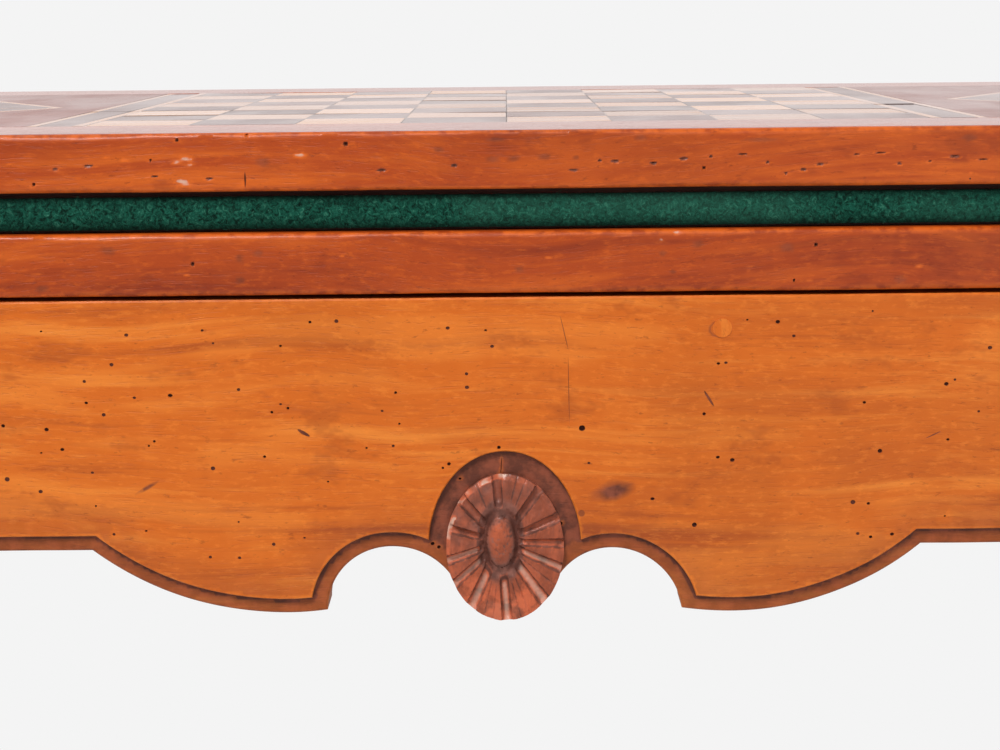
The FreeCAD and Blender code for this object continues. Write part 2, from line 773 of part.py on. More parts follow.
def build_frame():
    rails = rail_blanks()
    pegs = []
    blocks = []
    for sx, sy in corner_signs().values():
        pegs += [in_corner(p, sx, sy) for p in corner_pegs()]
        blocks += [in_corner(b, sx, sy) for b in corner_blocks()]
    leg = cabriole_leg()
    for name, (sx, sy) in corner_signs().items():
        one = in_corner(leg, sx, sy)
        save("leg_" + name, cut_all(one, list(rails.values()) + pegs))

    plugs = end_plugs()
    for name, rail in rails.items():
        save(name, cut_all(rail, pegs + dovetails() + plugs))
    save("rosette", rosette())
    save("joint_pegs", *pegs)
    save("corner_blocks", *blocks)
    save("rub_pads", *rub_pads())
    save("pivot_rail", pivot_rail())
    save("pivot_bush", pivot_bush())
    save("pivot_rail_plugs", *plugs)
    save("well_cleats", *well_cleats())
    save("well_boards", *well_boards())


def build_lower_leaf():
    plate = pivot_plate_blank()
    bolt = pivot_bolt()
    peg = stop_peg()
    recesses = hinge_recesses(LOWER_TOP - HINGE_REACH, LOWER_TOP)
    leaf = leaf_blank(LOWER_Z, LOWER_TOP)
    save("lower_leaf", cut_all(leaf, [plate, bolt, peg] + recesses))
    save("lower_panel", pad_panel(LOWER_PAD_REBATE))
    save("lower_baize", baize_cover(LOWER_PAD_REBATE))
    save("pivot_plate", plate.cut(bolt))
    save("pivot_bolt", bolt)
    save("pivot_washer", pivot_washer())
    save("pivot_nut", pivot_nut())
    save("stop_peg", peg)
    save("hinge_plates_lower", *[hinge_plate(x, True) for x in HINGE_X])
    save("hinge_pins", *hinge_pins())


def build_top_leaf():
    recesses = [flipped(r) for r in hinge_recesses(LOWER_TOP - HINGE_REACH, LOWER_TOP)]
    core = core_region(UPPER_Z, INLAY_Z).fuse(tongue()).removeSplitter()
    save("top_leaf_core", core)
    front, back, right_end, left_end = leaf_strips()
    save("top_leaf_front_strip", front)
    save("top_leaf_back_strip", cut_all(back, recesses))
    save("top_leaf_end_strips", left_end, right_end)
    save("light_squares", *chess_squares(True))
    save("dark_squares", *chess_squares(False))
    save("board_stringing", *side_strips(STRINGING_AT, STRINGING_W))
    save("dark_bands", *side_strips(BAND_AT, BAND_INLAY_W))
    save("outer_lines", *side_strips(OUTER_LINE_AT, OUTER_LINE_W))

    left_x, right_x = panel_middles()
    save("side_panels",
         side_panel(-FIELD_HX, BOARD_SHIFT - PANEL_AT, left_x),
         side_panel(BOARD_SHIFT + PANEL_AT, FIELD_HX, right_x))
    save("lozenge_lines",
         *[lozenge(x, 0.0).cut(lozenge(x, LOZENGE_LINE)) for x in (left_x, right_x)])
    light = star_points(left_x, True) + star_points(right_x, True)
    dark = star_points(left_x, False) + star_points(right_x, False)
    save("lozenge_grounds",
         *[cut_all(lozenge(x, LOZENGE_LINE), light + dark) for x in (left_x, right_x)])
    save("star_points_light", *light)
    save("star_points_dark", *dark)

    save("upper_panel", flipped(pad_panel(UPPER_PAD_REBATE)))
    save("upper_baize", flipped(baize_cover(UPPER_PAD_REBATE)))
    save("hinge_plates_upper", *[flipped(hinge_plate(x, False)) for x in HINGE_X])


def main():
    os.makedirs("parts", exist_ok=True)
    build_frame()
    build_lower_leaf()
    build_top_leaf()


main()
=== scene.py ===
import json
import math
import random

import bmesh
import bpy
import numpy as np
from bpy.props import FloatProperty, FloatVectorProperty, IntProperty, PointerProperty
from mathutils import Matrix, Vector, noise
from mathutils.geometry import delaunay_2d_cdt


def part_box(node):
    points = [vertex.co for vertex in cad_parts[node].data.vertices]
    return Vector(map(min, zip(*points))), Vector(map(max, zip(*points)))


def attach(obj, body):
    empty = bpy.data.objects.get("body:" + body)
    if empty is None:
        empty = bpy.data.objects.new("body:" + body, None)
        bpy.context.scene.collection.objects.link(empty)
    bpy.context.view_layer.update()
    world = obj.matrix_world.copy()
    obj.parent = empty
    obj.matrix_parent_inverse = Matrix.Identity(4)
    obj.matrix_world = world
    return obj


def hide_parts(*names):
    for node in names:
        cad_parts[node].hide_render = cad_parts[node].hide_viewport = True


bl_info = {
    "name": "Fold-over games table",
    "version": (1, 0, 0),
    "blender": (4, 5, 0),
    "location": "3D View > Sidebar > Games table",
    "description": "Carves, veneers, covers and finishes an old fold-over games table",
    "category": "Object",
}

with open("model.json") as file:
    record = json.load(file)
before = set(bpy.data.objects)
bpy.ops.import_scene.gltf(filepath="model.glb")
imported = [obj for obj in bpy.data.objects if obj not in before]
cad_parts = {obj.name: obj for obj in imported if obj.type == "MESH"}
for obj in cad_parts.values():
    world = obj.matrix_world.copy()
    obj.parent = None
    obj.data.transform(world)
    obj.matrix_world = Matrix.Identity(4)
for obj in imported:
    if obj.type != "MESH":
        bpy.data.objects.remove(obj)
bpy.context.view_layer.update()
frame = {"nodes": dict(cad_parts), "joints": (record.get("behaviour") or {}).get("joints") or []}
MM = 0.001


# ---------------------------------------------------------------- places read from the frame

RAIL_LOW, RAIL_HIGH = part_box("front_rail")
LOWER_LOW, LOWER_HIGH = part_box("lower_leaf")
STRIP_LOW, STRIP_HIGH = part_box("top_leaf_front_strip")
PANEL_LOW, PANEL_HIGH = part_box("side_panels")
SQUARES_LOW, SQUARES_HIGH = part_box("light_squares")
PAD_LOW, PAD_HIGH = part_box("lower_baize")
UPPER_PAD_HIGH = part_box("upper_baize")[1]
SEAT_ROSETTE_LOW, SEAT_ROSETTE_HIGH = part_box("rosette")

FRAME_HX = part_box("right_rail")[1].x
FRAME_HY = -RAIL_LOW.y
RAIL_TOP = RAIL_HIGH.z
RAIL_T = RAIL_HIGH.y - RAIL_LOW.y
LEAF_HX = LOWER_HIGH.x
LEAF_FRONT = LOWER_LOW.y
LEAF_BACK = LOWER_HIGH.y
TOP_Z = STRIP_HIGH.z
UPPER_Z = STRIP_LOW.z
FIELD_HX = PANEL_HIGH.x
FIELD_FRONT = PANEL_LOW.y
FIELD_BACK = PANEL_HIGH.y
INLAY_Z = PANEL_LOW.z
SQUARE = (SQUARES_HIGH.x - SQUARES_LOW.x) / 8
PIVOT = Vector(frame["joints"][0]["pos_m"])
HINGE_Z = frame["joints"][1]["pos_m"][2]


# ---------------------------------------------------------------- sizes and colours a user sets

def linear(channel):
    """A screen value from 0 to 255 as a linear one."""
    share = channel / 255
    if share <= 0.04045:
        return share / 12.92
    return ((share + 0.055) / 1.055) ** 2.4


def length(title, millimetres, note):
    return FloatProperty(name=title, description=note, default=millimetres * MM, unit="LENGTH",
                         precision=4)


def share(title, value, note):
    return FloatProperty(name=title, description=note, default=value, min=0.0, subtype="FACTOR")


def tint(title, red, green, blue, note):
    return FloatVectorProperty(name=title, description=note, size=3, subtype="COLOR",
                               min=0.0, max=1.0,
                               default=(linear(red), linear(green), linear(blue)))


class TableCarving(bpy.types.PropertyGroup):
    """Outline and carving of the rails, the rosette and the legs."""

    post: length("Post", 48, "Side of the square posts at the top of the legs")
    straight: length("Straight edge", 604.6, "Height of the straight stretches of the lower edge")
    knee: length("Knee", 565.6, "Height at which the brackets meet the legs")
    bracket: length("Bracket radius", 60, "Radius of the brackets beside the legs")
    band: length("Band width", 6, "Width of the sunk band along the lower edges")
    sunk: length("Band depth", 2.5, "Depth of the sunk band")
    lobe_r: length("Lobe radius", 114.5, "Radius of the lobes of the lower edge")
    lobe_x: length("Lobe place", 83.1, "Distance of a front lobe from the middle")
    lobe_z: length("Lobe height", 579.4, "Lowest point of the front lobes")
    side_lobe_z: length("Side lobe height", 581.6, "Lowest point of the side rails")
    arch_r: length("Arch radius", 25.8, "Radius of the arches beside the rosette")
    arch_x: length("Arch place", 40.9, "Distance of an arch from the middle")
    arch_z: length("Arch height", 578.7, "Height of the arches' centres")
    arch_foot: length("Arch foot", 593.3, "Height at which the arches meet the rosette")
    arch_in: length("Arch foot's place", 20, "Distance from the middle at which they meet it")
    hood_a: length("Hood half width", 28.4, "Half width of the sunk hood over the rosette")
    hood_b: length("Hood half height", 36.7, "Half height of the sunk hood over the rosette")
    uneven: share("Unevenness", 1.0, "How far the two halves of the front rail differ")
    boss_x: length("Boss aside", -1.5, "How far the seed lies to the right of the middle")
    boss_up: length("Boss up", 2.4, "How far the seed lies over the middle")
    boss_a: length("Boss half width", 5.3, "Half width of the seed in the rosette's middle")
    boss_b: length("Boss half height", 10, "Half height of the seed in the rosette's middle")
    groove: length("Groove depth", 2.6, "Depth of the gouged grooves between the petals")
    leg_band: length("Leg band", 4.6, "Width of the sunk band along the legs' inner edges")


class TableWear(bpy.types.PropertyGroup):
    """How far the years have gone."""

    arris: length("Arris", 2.2, "Mean rounding of the leaves' edges")
    waviness: length("Waviness", 0.5, "How far the planed edges wander")
    worm: length("Worm hole", 0.8, "Mean radius of the worm holes")
    holes: IntProperty(name="Worm holes", description="Number of worm holes in the front rail",
                       default=170, min=0)
    tile_gap: length("Inlay gap", 0.12, "Glue line left between the inlays")
    tile_lift: length("Inlay lift", 0.16, "How unevenly the inlays lie")
    nap: length("Nap", 1.3, "Length of the loose fibres on the baize's edges")
    fibres: IntProperty(name="Fibres", description="Loose fibres on the baize's front edges",
                        default=5200, min=0)


class TableColours(bpy.types.PropertyGroup):
    """Colours of the woods, the cloth and the metals."""

    apron_dark: tint("Apron, dark", 164, 72, 14, "Dark grain of the fruitwood")
    apron: tint("Apron", 203, 98, 16, "Body of the fruitwood")
    apron_light: tint("Apron, light", 224, 128, 44, "Light grain of the fruitwood")
    # old wax and dirt in the carving, which also paints the shade in the hood near the flower
    patina_and_shade: tint("Patina", 108, 53, 34, "Dirt and old wax in the carving")
    flower: tint("Rosette", 152, 72, 42, "Body of the carved flower")
    # the flower's old wax and dirt, which also paints the shade on its groove walls and round its
    # seed
    flower_dirt_and_shade: tint("Rosette, dirt", 112, 68, 56, "Dirt and old wax in the flower")
    leaf_dark: tint("Leaf, dark", 128, 42, 12, "Dark grain of the leaves")
    leaf: tint("Leaf", 166, 64, 13, "Body of the leaves' wood")
    leaf_light: tint("Leaf, light", 204, 95, 22, "Light grain of the leaves")
    square_light: tint("Light square", 232, 182, 148, "Light squares, lines and star halves")
    square_dark: tint("Dark square", 96, 50, 38, "Dark squares and bands")
    panel: tint("Panel", 142, 60, 34, "Veneer of the side panels")
    softwood: tint("Softwood", 184, 118, 68, "Plain wood of the hidden parts")
    baize: tint("Baize", 18, 68, 54, "Wool of the baize")
    baize_light: tint("Baize, worn", 66, 124, 102, "Rubbed and dusty wool")
    brass: tint("Brass", 176, 140, 74, "Old brass")
    iron: tint("Iron", 72, 66, 62, "Dark wrought iron")


class TableStage(bpy.types.PropertyGroup):
    """Camera, light and floor."""

    lens: FloatProperty(name="Lens", description="Focal length on a 36 mm sensor",
                        default=70.86, unit="CAMERA")
    camera: FloatVectorProperty(name="Camera", description="Place of the camera", size=3,
                                subtype="TRANSLATION", unit="LENGTH",
                                default=(0.0021, -0.9221, 0.8000))
    yaw: FloatProperty(name="Yaw", description="Turn to the left", default=0.0047,
                       subtype="ANGLE")
    pitch: FloatProperty(name="Pitch", description="Tilt downwards", default=0.1806,
                         subtype="ANGLE")
    roll: FloatProperty(name="Roll", description="Turn about the view", default=-0.0102,
                        subtype="ANGLE")
    backdrop: share("Backdrop", 0.905, "Brightness of the backdrop")
    ambient: share("Ambient", 0.28, "Strength of the light from all round")
    sheen_back: share("Sheen, behind", 0.9, "Brightness that a gloss shows from behind the table")
    sheen_front: share("Sheen, front", 0.25, "Brightness that a gloss shows from the front")
    key: FloatProperty(name="Key light", description="Power of the large soft light",
                       default=80.0, unit="POWER")
    fill: FloatProperty(name="Fill light", description="Power of the low front light",
                        default=12.0, unit="POWER")


# ---------------------------------------------------------------- shader arithmetic

class Signal:
    """One output of a node. Arithmetic on signals adds the Math nodes that work it out."""

    def __init__(self, bench, socket):
        self.bench = bench
        self.socket = socket

    def _math(self, operation, first, second):
        return self.bench.add("ShaderNodeMath", {"operation": operation}, {0: first, 1: second})

    def __add__(self, other):
        return self._math("ADD", self, other)

    def __radd__(self, other):
        return self._math("ADD", other, self)

    def __sub__(self, other):
        return self._math("SUBTRACT", self, other)

    def __rsub__(self, other):
        return self._math("SUBTRACT", other, self)

    def __mul__(self, other):
        return self._math("MULTIPLY", self, other)

    def __rmul__(self, other):
        return self._math("MULTIPLY", other, self)

    def __gt__(self, other):
        return self._math("GREATER_THAN", self, other)

    def least(self, other):
        return self._math("MINIMUM", self, other)

    def rise(self, low, high):
        """0 below low, 1 above high, and smooth between them."""
        return self.bench.add("ShaderNodeMapRange", {"interpolation_type": "SMOOTHSTEP"},
                              {0: self, 1: low, 2: high, 3: 0.0, 4: 1.0})

    def scaled(self, low, high, to_low, to_high):
        return self.bench.add("ShaderNodeMapRange", {},
                              {0: self, 1: low, 2: high, 3: to_low, 4: to_high})


class Bench:
    """The nodes of one material or of the world."""

    def __init__(self, owner):
        owner.use_nodes = True
        self.owner = owner
        self.tree = owner.node_tree
        self.tree.nodes.clear()
        self.place = self.add("ShaderNodeTexCoord", {}, {}, "Object")

    def add(self, kind, settings, inputs, out=0):
        """A node of this type: first its settings, then its sockets' values or signals."""
        node = self.tree.nodes.new(kind)
        for key, value in settings.items():
            if key == "stops":
                self._set_stops(node.color_ramp, value)
            else:
                setattr(node, key, value)
        for key, value in inputs.items():
            if isinstance(value, Signal):
                self.tree.links.new(value.socket, node.inputs[key])
            else:
                node.inputs[key].default_value = value
        return Signal(self, node.outputs[out]) if node.outputs else None

    def _set_stops(self, ramp, stops):
        while len(ramp.elements) < len(stops):
            ramp.elements.new(0.5)
        for element, (position, colour) in zip(ramp.elements, stops):
            element.position = position
            element.color = colour

    def ramp(self, signal, *stops):
        return self.add("ShaderNodeValToRGB", {"stops": stops}, {0: signal})

    def mix(self, factor, first, second):
        return self.add("ShaderNodeMix", {"data_type": "RGBA"},
                        {0: factor, 6: first, 7: second}, 2)

    def glaze(self, colour, *layers):
        """Lay tones over a colour: for each, the signal that brings it in, where that signal
        starts and is full, the tone's strength and the tone."""
        for signal, low, high, strength, tone in layers:
            colour = self.mix(signal.rise(low, high) * strength, colour, tone)
        return colour

    def stretch(self, vector, x, y, z):
        return self.add("ShaderNodeVectorMath", {"operation": "MULTIPLY"},
                        {0: vector, 1: (x, y, z)})

    def shifted(self, vector, offset):
        return self.add("ShaderNodeVectorMath", {"operation": "ADD"}, {0: vector, 1: offset})

    def cloud(self, vector, scale=1.0, detail=2.0, rough=0.5, warp=0.0):
        return self.add("ShaderNodeTexNoise", {},
                        {"Vector": vector, "Scale": scale, "Detail": detail,
                         "Roughness": rough, "Distortion": warp}, "Fac")

    def grain(self, vector, axis, along, across, detail=2.0, rough=0.5):
        """A cloud drawn out along the grain."""
        scales = [across, across, across]
        scales["XYZ".index(axis)] = along
        return self.cloud(self.stretch(vector, *scales), 1.0, detail, rough)

    def cells(self, vector, scale, out="Distance"):
        return self.add("ShaderNodeTexVoronoi", {}, {"Vector": vector, "Scale": scale}, out)

    def field(self, name):
        """A value stored on the mesh's points, or 0 where a mesh has none."""
        return self.add("ShaderNodeAttribute", {"attribute_name": name}, {}, "Fac")

    def bump(self, height, strength, distance):
        return self.add("ShaderNodeBump", {}, {"Strength": strength, "Distance": distance,
                                               "Height": height})

    def finish(self, sockets):
        """A Principled surface from these socket values and signals."""
        surface = self.add("ShaderNodeBsdfPrincipled", {}, sockets)
        self.add("ShaderNodeOutputMaterial", {}, {"Surface": surface})
        return self.owner


def clamp(value):
    """A value held between 0 and 1."""
    return min(1.0, max(0.0, value))


def opaque(colour):
    return (colour[0], colour[1], colour[2], 1.0)


def shade(colour, factor):
    """A colour made darker or lighter by a factor."""
    return tuple(min(1.0, c * factor) for c in colour[:3]) + (1.0,)


# ---------------------------------------------------------------- finishes

DEEP_DIRT_AND_SHADE = (0.075, 0.014, 0.006, 1.0)
BARE_WOOD_AND_HIGHLIGHT = (0.60, 0.42, 0.33, 1.0)
HOLE_DARK = (0.02, 0.009, 0.005, 1.0)
RUST = (0.10, 0.035, 0.014, 1.0)
FELT = (0.02, 0.018, 0.016)
RUBBED_FELT = (0.09, 0.08, 0.07)


def wandering(bench, offset):
    """The place with the slow drift that keeps grain from running dead straight."""
    moved = bench.shifted(bench.place, offset)
    drift = bench.add("ShaderNodeTexNoise", {}, {"Vector": moved, "Scale": 4.0, "Detail": 2.0},
                      "Color")
    return bench.add("ShaderNodeVectorMath", {"operation": "MULTIPLY_ADD"},
                     {0: drift, 1: (0.04, 0.04, 0.04), 2: moved})


def spots(bench, scale, radius, share_kept):
    """Small round marks, one in a few of the cells."""
    near = bench.cells(bench.place, scale, "Distance")
    pick = bench.add("ShaderNodeSeparateColor", {},
                     {0: bench.cells(bench.place, scale, "Color")}, 0)
    return (1.0 - near.rise(radius * 0.7, radius)) * (pick > 1.0 - share_kept)


def aged_wood(name, axis, dark, body, light, patina_and_shade, offset=(0.0, 0.0, 0.0), worm=0.04,
              gloss=0.4, streak=0.5, polished=False):
    """Waxed old wood: bands, streaks, pores, blotches, worm holes, dirt and wear, and the painted
    shade and highlights that its mesh's fields bring in. Its upper side can be polished."""
    bench = Bench(bpy.data.materials.new(name))
    place = wandering(bench, offset)
    bands = bench.grain(place, axis, 1.6, 34.0, 3.0, 0.55)
    streaks = bench.grain(place, axis, 5.0, 170.0, 4.0, 0.62)
    pores = bench.grain(place, axis, 70.0, 1500.0, 2.0, 0.6)
    figure = bench.grain(place, axis, 150.0, 30.0, 2.0)
    patches = bench.grain(place, axis, 9.0, 60.0, 3.0, 0.6)
    blotch = bench.cloud(place, 8.0, 4.0, 0.6)
    mottle = bench.grain(place, axis, 190.0, 620.0, 3.0, 0.7)
    flecks = bench.grain(place, axis, 210.0, 680.0, 3.0, 0.75)
    smudge = bench.cloud(bench.stretch(place, 30.0, 30.0, 60.0), 1.0, 4.0, 0.7)

    tone = bands * (1.0 - streak) + streaks * streak
    colour = bench.ramp(tone, (0.37, opaque(dark)), (0.475, opaque(body)),
                        (0.53, opaque(body)), (0.64, opaque(light)))
    colour = bench.glaze(
        colour,
        (figure, 0.42, 0.66, 0.06, shade(light, 1.12)),
        (patches, 0.52, 0.66, 0.4, shade(light, 1.06)),
        (1.0 - patches, 0.54, 0.68, 0.35, opaque(dark)),
        (blotch, 0.5, 0.7, 0.45, shade(body, 0.72)),
        (pores, 0.56, 0.70, 0.13, shade(dark, 0.75)),
        (mottle, 0.5, 0.7, 0.26, shade(light, 1.2)),
        (flecks, 0.6, 0.72, 0.45, shade(dark, 0.55)),
        (smudge, 0.56, 0.68, 0.4, shade(dark, 0.85)))

    hollow = bench.field("hollow")
    worn = bench.field("worn")
    grime = bench.cloud(bench.place, 160.0, 3.0, 0.65)
    ground = bench.mix(grime.rise(0.38, 0.66), shade(patina_and_shade, 0.7), shade(patina_and_shade, 1.5))
    colour = bench.mix((hollow * 1.25).least(1.0), colour, ground)
    # above 1 the hollow field turns near-black: dirt in holes, and painted shade at the foot of
    # carved walls and round the rosette's seed
    deep = (hollow - 1.0).rise(0.0, 0.9)
    colour = bench.mix(deep, colour, DEEP_DIRT_AND_SHADE)
    # the wear field lightens the wood: real wear, and painted highlights on arrises, groove
    # floors, the seed and the lips of holes
    rubbed_and_lit = (worn * grime.rise(0.36, 0.6)).least(1.0)
    colour = bench.mix(rubbed_and_lit * 0.6, colour, shade(light, 1.25))
    colour = bench.mix((worn - 1.0).rise(0.0, 0.9) * 0.75, colour, BARE_WOOD_AND_HIGHLIGHT)

    holes = spots(bench, 95.0, 0.055, worm)
    chips = spots(bench, 34.0, 0.05, 0.12)
    colour = bench.mix(holes, colour, HOLE_DARK)
    colour = bench.mix(chips * 0.6, colour, shade(patina_and_shade, 0.7))

    scuff = bench.grain(place, axis, 30.0, 260.0, 3.0, 0.7)
    roughness = gloss + scuff * 0.16 + hollow * 0.15 + pores.rise(0.6, 0.75) * 0.08
    coat = 0.1
    if polished:
        height = bench.add("ShaderNodeSeparateXYZ", {}, {0: bench.place}, 2)
        upper = height.rise(TOP_Z - 1.4 * MM, TOP_Z - 0.3 * MM)
        roughness = roughness * (1.0 - upper * 0.62)
        coat = upper * 0.3 + 0.1
    height = (streaks * 0.35 + pores.rise(0.55, 0.75) * -0.5 + mottle * 0.12 - holes * 3.0
              - chips * 0.6 + blotch * 0.8)
    return bench.finish({
        "Base Color": colour,
        "Roughness": roughness.least(0.95),
        "Normal": bench.bump(height, 0.35, 0.0006),
        "Coat Weight": coat,
        "Coat Roughness": 0.16,
        "Specular IOR Level": 0.3,
    })


def raw_wood(name, axis, body):
    """Dry unpolished softwood with saw marks, for parts that nobody sees or touches."""
    bench = Bench(bpy.data.materials.new(name))
    place = wandering(bench, (0.3, 0.1, 0.7))
    rings = bench.grain(place, axis, 2.2, 60.0, 3.0, 0.6)
    fibres = bench.grain(place, axis, 30.0, 700.0, 3.0, 0.7)
    dust = bench.cloud(place, 14.0, 4.0, 0.65)
    knots = spots(bench, 7.0, 0.09, 0.25)
    colour = bench.ramp(rings, (0.36, shade(body, 0.72)), (0.5, opaque(body)),
                        (0.66, shade(body, 1.15)))
    colour = bench.glaze(colour, (fibres, 0.5, 0.7, 0.3, shade(body, 0.5)),
                         (dust, 0.45, 0.7, 0.3, shade(body, 0.62)))
    colour = bench.mix(knots, colour, shade(body, 0.22))
    colour = bench.mix(spots(bench, 95.0, 0.06, 0.08), colour, (0.03, 0.015, 0.01, 1.0))
    saw = bench.grain(place, axis, 420.0, 6.0, 1.0)
    height = fibres * 0.8 + saw * 0.5 + rings * 0.4
    return bench.finish({
        "Base Color": colour,
        "Roughness": fibres * 0.14 + 0.72,
        "Normal": bench.bump(height, 0.6, 0.0008),
    })


def veneer(name, axis, body, spread, cell=None, gloss=0.12, coat=0.6):
    """Waxed inlay wood. Where cell is given, each square has a tone of its own."""
    bench = Bench(bpy.data.materials.new(name))
    place = wandering(bench, (0.2, 0.4, 0.1))
    if cell:
        square = bench.add("ShaderNodeVectorMath", {"operation": "SNAP"},
                           {0: bench.shifted(bench.place, cell[0]),
                            1: (cell[1], cell[1], 1.0)})
        pick = bench.add("ShaderNodeTexWhiteNoise", {}, {"Vector": square}, "Value")
        turn = bench.add("ShaderNodeTexWhiteNoise", {}, {"Vector": square}, "Color")
        place = bench.add("ShaderNodeVectorMath", {"operation": "MULTIPLY_ADD"},
                          {0: turn, 1: (0.9, 0.9, 0.9), 2: place})
    else:
        pick = bench.cloud(bench.place, 5.0, 1.0)
    bands = bench.grain(place, axis, 9.0, 150.0, 3.0, 0.6)
    pores = bench.grain(place, axis, 90.0, 1400.0, 2.0, 0.6)
    grime = bench.cloud(bench.place, 60.0, 4.0, 0.7)
    tone = pick * 0.55 + bands * 0.45
    colour = bench.ramp(tone, (0.2, shade(body, 1.0 - spread)), (0.5, opaque(body)),
                        (0.8, shade(body, 1.0 + spread)))
    colour = bench.glaze(colour, (pores, 0.55, 0.72, 0.4, shade(body, 0.45)),
                         (grime, 0.56, 0.74, 0.4, shade(body, 0.5)))
    flecks = spots(bench, 120.0, 0.07, 0.05)
    colour = bench.mix(flecks, colour, (0.03, 0.018, 0.012, 1.0))
    edge = bench.field("edge")
    colour = bench.mix(edge * 0.7, colour, (0.03, 0.016, 0.01, 1.0))
    smear = bench.grain(bench.place, axis, 14.0, 40.0, 4.0)
    dull = bench.grain(bench.place, axis, 7.0, 16.0, 3.0)
    height = bands * 0.3 - pores.rise(0.55, 0.75) * 0.5 - flecks * 1.2 + smear * 0.5
    return bench.finish({
        "Base Color": colour,
        "Roughness": smear * 0.24 + gloss,
        "Normal": bench.bump(height, 0.3, 0.0005),
        "Coat Weight": coat - dull.rise(0.42, 0.6) * 0.3,
        "Coat Roughness": 0.14,
        "Specular IOR Level": 0.42,
    })


def baize_cloth(name, wool, rubbed_wool):
    """Felted green wool: matted fibres, scuffed patches, dust, small moth marks, and painted shade
    where it meets the wood.
    """
    bench = Bench(bpy.data.materials.new(name))
    mat = bench.cloud(bench.place, 520.0, 4.0, 0.75, 0.8)
    lint = bench.cloud(bench.stretch(bench.place, 1.0, 1.0, 0.45), 1300.0, 3.0, 0.7, 1.4)
    tufts = bench.cloud(bench.place, 130.0, 3.0, 0.6)
    wear = bench.cloud(bench.place, 9.0, 4.0, 0.6)
    weave = bench.cloud(bench.stretch(bench.place, 900.0, 240.0, 900.0), 1.0, 1.0)
    colour = bench.ramp(mat, (0.38, shade(wool, 0.2)), (0.49, opaque(wool)),
                        (0.58, shade(wool, 1.7)), (0.7, opaque(rubbed_wool)))
    colour = bench.glaze(colour, (lint, 0.56, 0.7, 0.45, opaque(rubbed_wool)),
                         (tufts, 0.5, 0.7, 0.4, shade(wool, 0.55)),
                         (wear, 0.5, 0.68, 0.3, shade(rubbed_wool, 0.8)),
                         (weave, 0.5, 0.7, 0.12, shade(wool, 0.6)))
    colour = bench.mix(spots(bench, 45.0, 0.05, 0.06), colour, shade(wool, 0.25))
    # painted shade: the cloth turns near-black where its hollow field says it meets the wood above
    # and below
    colour = bench.mix(bench.field("hollow") * 0.85, colour, shade(wool, 0.12))
    height = mat * 1.0 + lint * 0.5 + tufts * 0.9
    return bench.finish({
        "Base Color": colour,
        "Roughness": mat * 0.1 + 0.86,
        "Normal": bench.bump(height, 0.9, 0.0009),
        "Specular IOR Level": 0.08,
    })


def fibre_wool(name, wool, rubbed_wool):
    """The single hairs that stand out of the baize."""
    bench = Bench(bpy.data.materials.new(name))
    pick = bench.cloud(bench.place, 240.0, 2.0)
    colour = bench.ramp(pick, (0.35, shade(wool, 0.9)), (0.55, shade(wool, 1.5)),
                        (0.75, opaque(rubbed_wool)))
    return bench.finish({
        "Base Color": colour,
        "Roughness": pick * 0.1 + 0.85,
        "Normal": bench.bump(pick, 0.2, 0.0002),
        "Specular IOR Level": 0.1,
    })


def old_brass(name, body):
    """Dull brass, brown in its hollows and bright where it rubs."""
    bench = Bench(bpy.data.materials.new(name))
    tarnish = bench.cloud(bench.place, 90.0, 4.0, 0.65)
    scratch = bench.cloud(bench.stretch(bench.place, 60.0, 900.0, 900.0), 1.0, 2.0)
    pits = spots(bench, 400.0, 0.09, 0.12)
    colour = bench.ramp(tarnish, (0.35, shade(body, 0.28)), (0.52, shade(body, 0.75)),
                        (0.7, shade(body, 1.25)))
    hollow = bench.field("hollow")
    colour = bench.mix(hollow, colour, (0.02, 0.014, 0.01, 1.0))
    return bench.finish({
        "Base Color": colour,
        "Metallic": 1.0 - hollow * 0.5,
        "Roughness": tarnish.scaled(0.3, 0.7, 0.55, 0.3) + scratch * 0.08,
        "Normal": bench.bump(scratch * 0.4 - pits, 0.3, 0.0002),
    })


def forged_iron(name, body):
    """Hammered iron with rust in its pores."""
    bench = Bench(bpy.data.materials.new(name))
    scale = bench.cloud(bench.place, 120.0, 4.0, 0.7)
    rust = bench.cloud(bench.place, 300.0, 3.0, 0.7)
    hammer = bench.cells(bench.place, 140.0, "Distance")
    colour = bench.ramp(scale, (0.35, shade(body, 0.5)), (0.6, opaque(body)))
    rusted = rust.rise(0.56, 0.7)
    colour = bench.mix(rusted, colour, RUST)
    return bench.finish({
        "Base Color": colour,
        "Metallic": 0.9 - rusted * 0.8,
        "Roughness": rusted * 0.35 + 0.45,
        "Normal": bench.bump(hammer * 0.5 + scale * 0.4, 0.5, 0.0006),
    })


# ---------------------------------------------------------------- meshes

def ripple(x, y, z, size, seed):
    """A smooth wandering value from -1 to 1 that repeats at about this size."""
    return noise.noise(Vector((x / size + seed * 7.31, y / size - seed * 3.7, z / size + seed)))


def placed(name, data):
    """A new object in the scene."""
    thing = bpy.data.objects.new(name, data)
    bpy.context.scene.collection.objects.link(thing)
    return thing


def make_piece(name, points, faces, finish_material, body, fields=None, nodes=(),
               sharp=38.0, closed=True):
    """A mesh that rides on a body and stands for CAD nodes."""
    mesh = bpy.data.meshes.new(name)
    mesh.from_pydata(points, [], faces)
    for field, values in (fields or {}).items():
        layer = mesh.attributes.new(field, "FLOAT", "POINT")
        layer.data.foreach_set("value", values)
    if closed:
        solid = bmesh.new()
        solid.from_mesh(mesh)
        bmesh.ops.recalc_face_normals(solid, faces=solid.faces)
        solid.to_mesh(mesh)
        solid.free()
    mesh.shade_smooth()
    mesh.set_sharp_from_angle(angle=math.radians(sharp))
    mesh.materials.append(finish_material)
    piece = placed(name, mesh)
    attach(piece, body)
    if nodes:
        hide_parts(*nodes)
    return piece


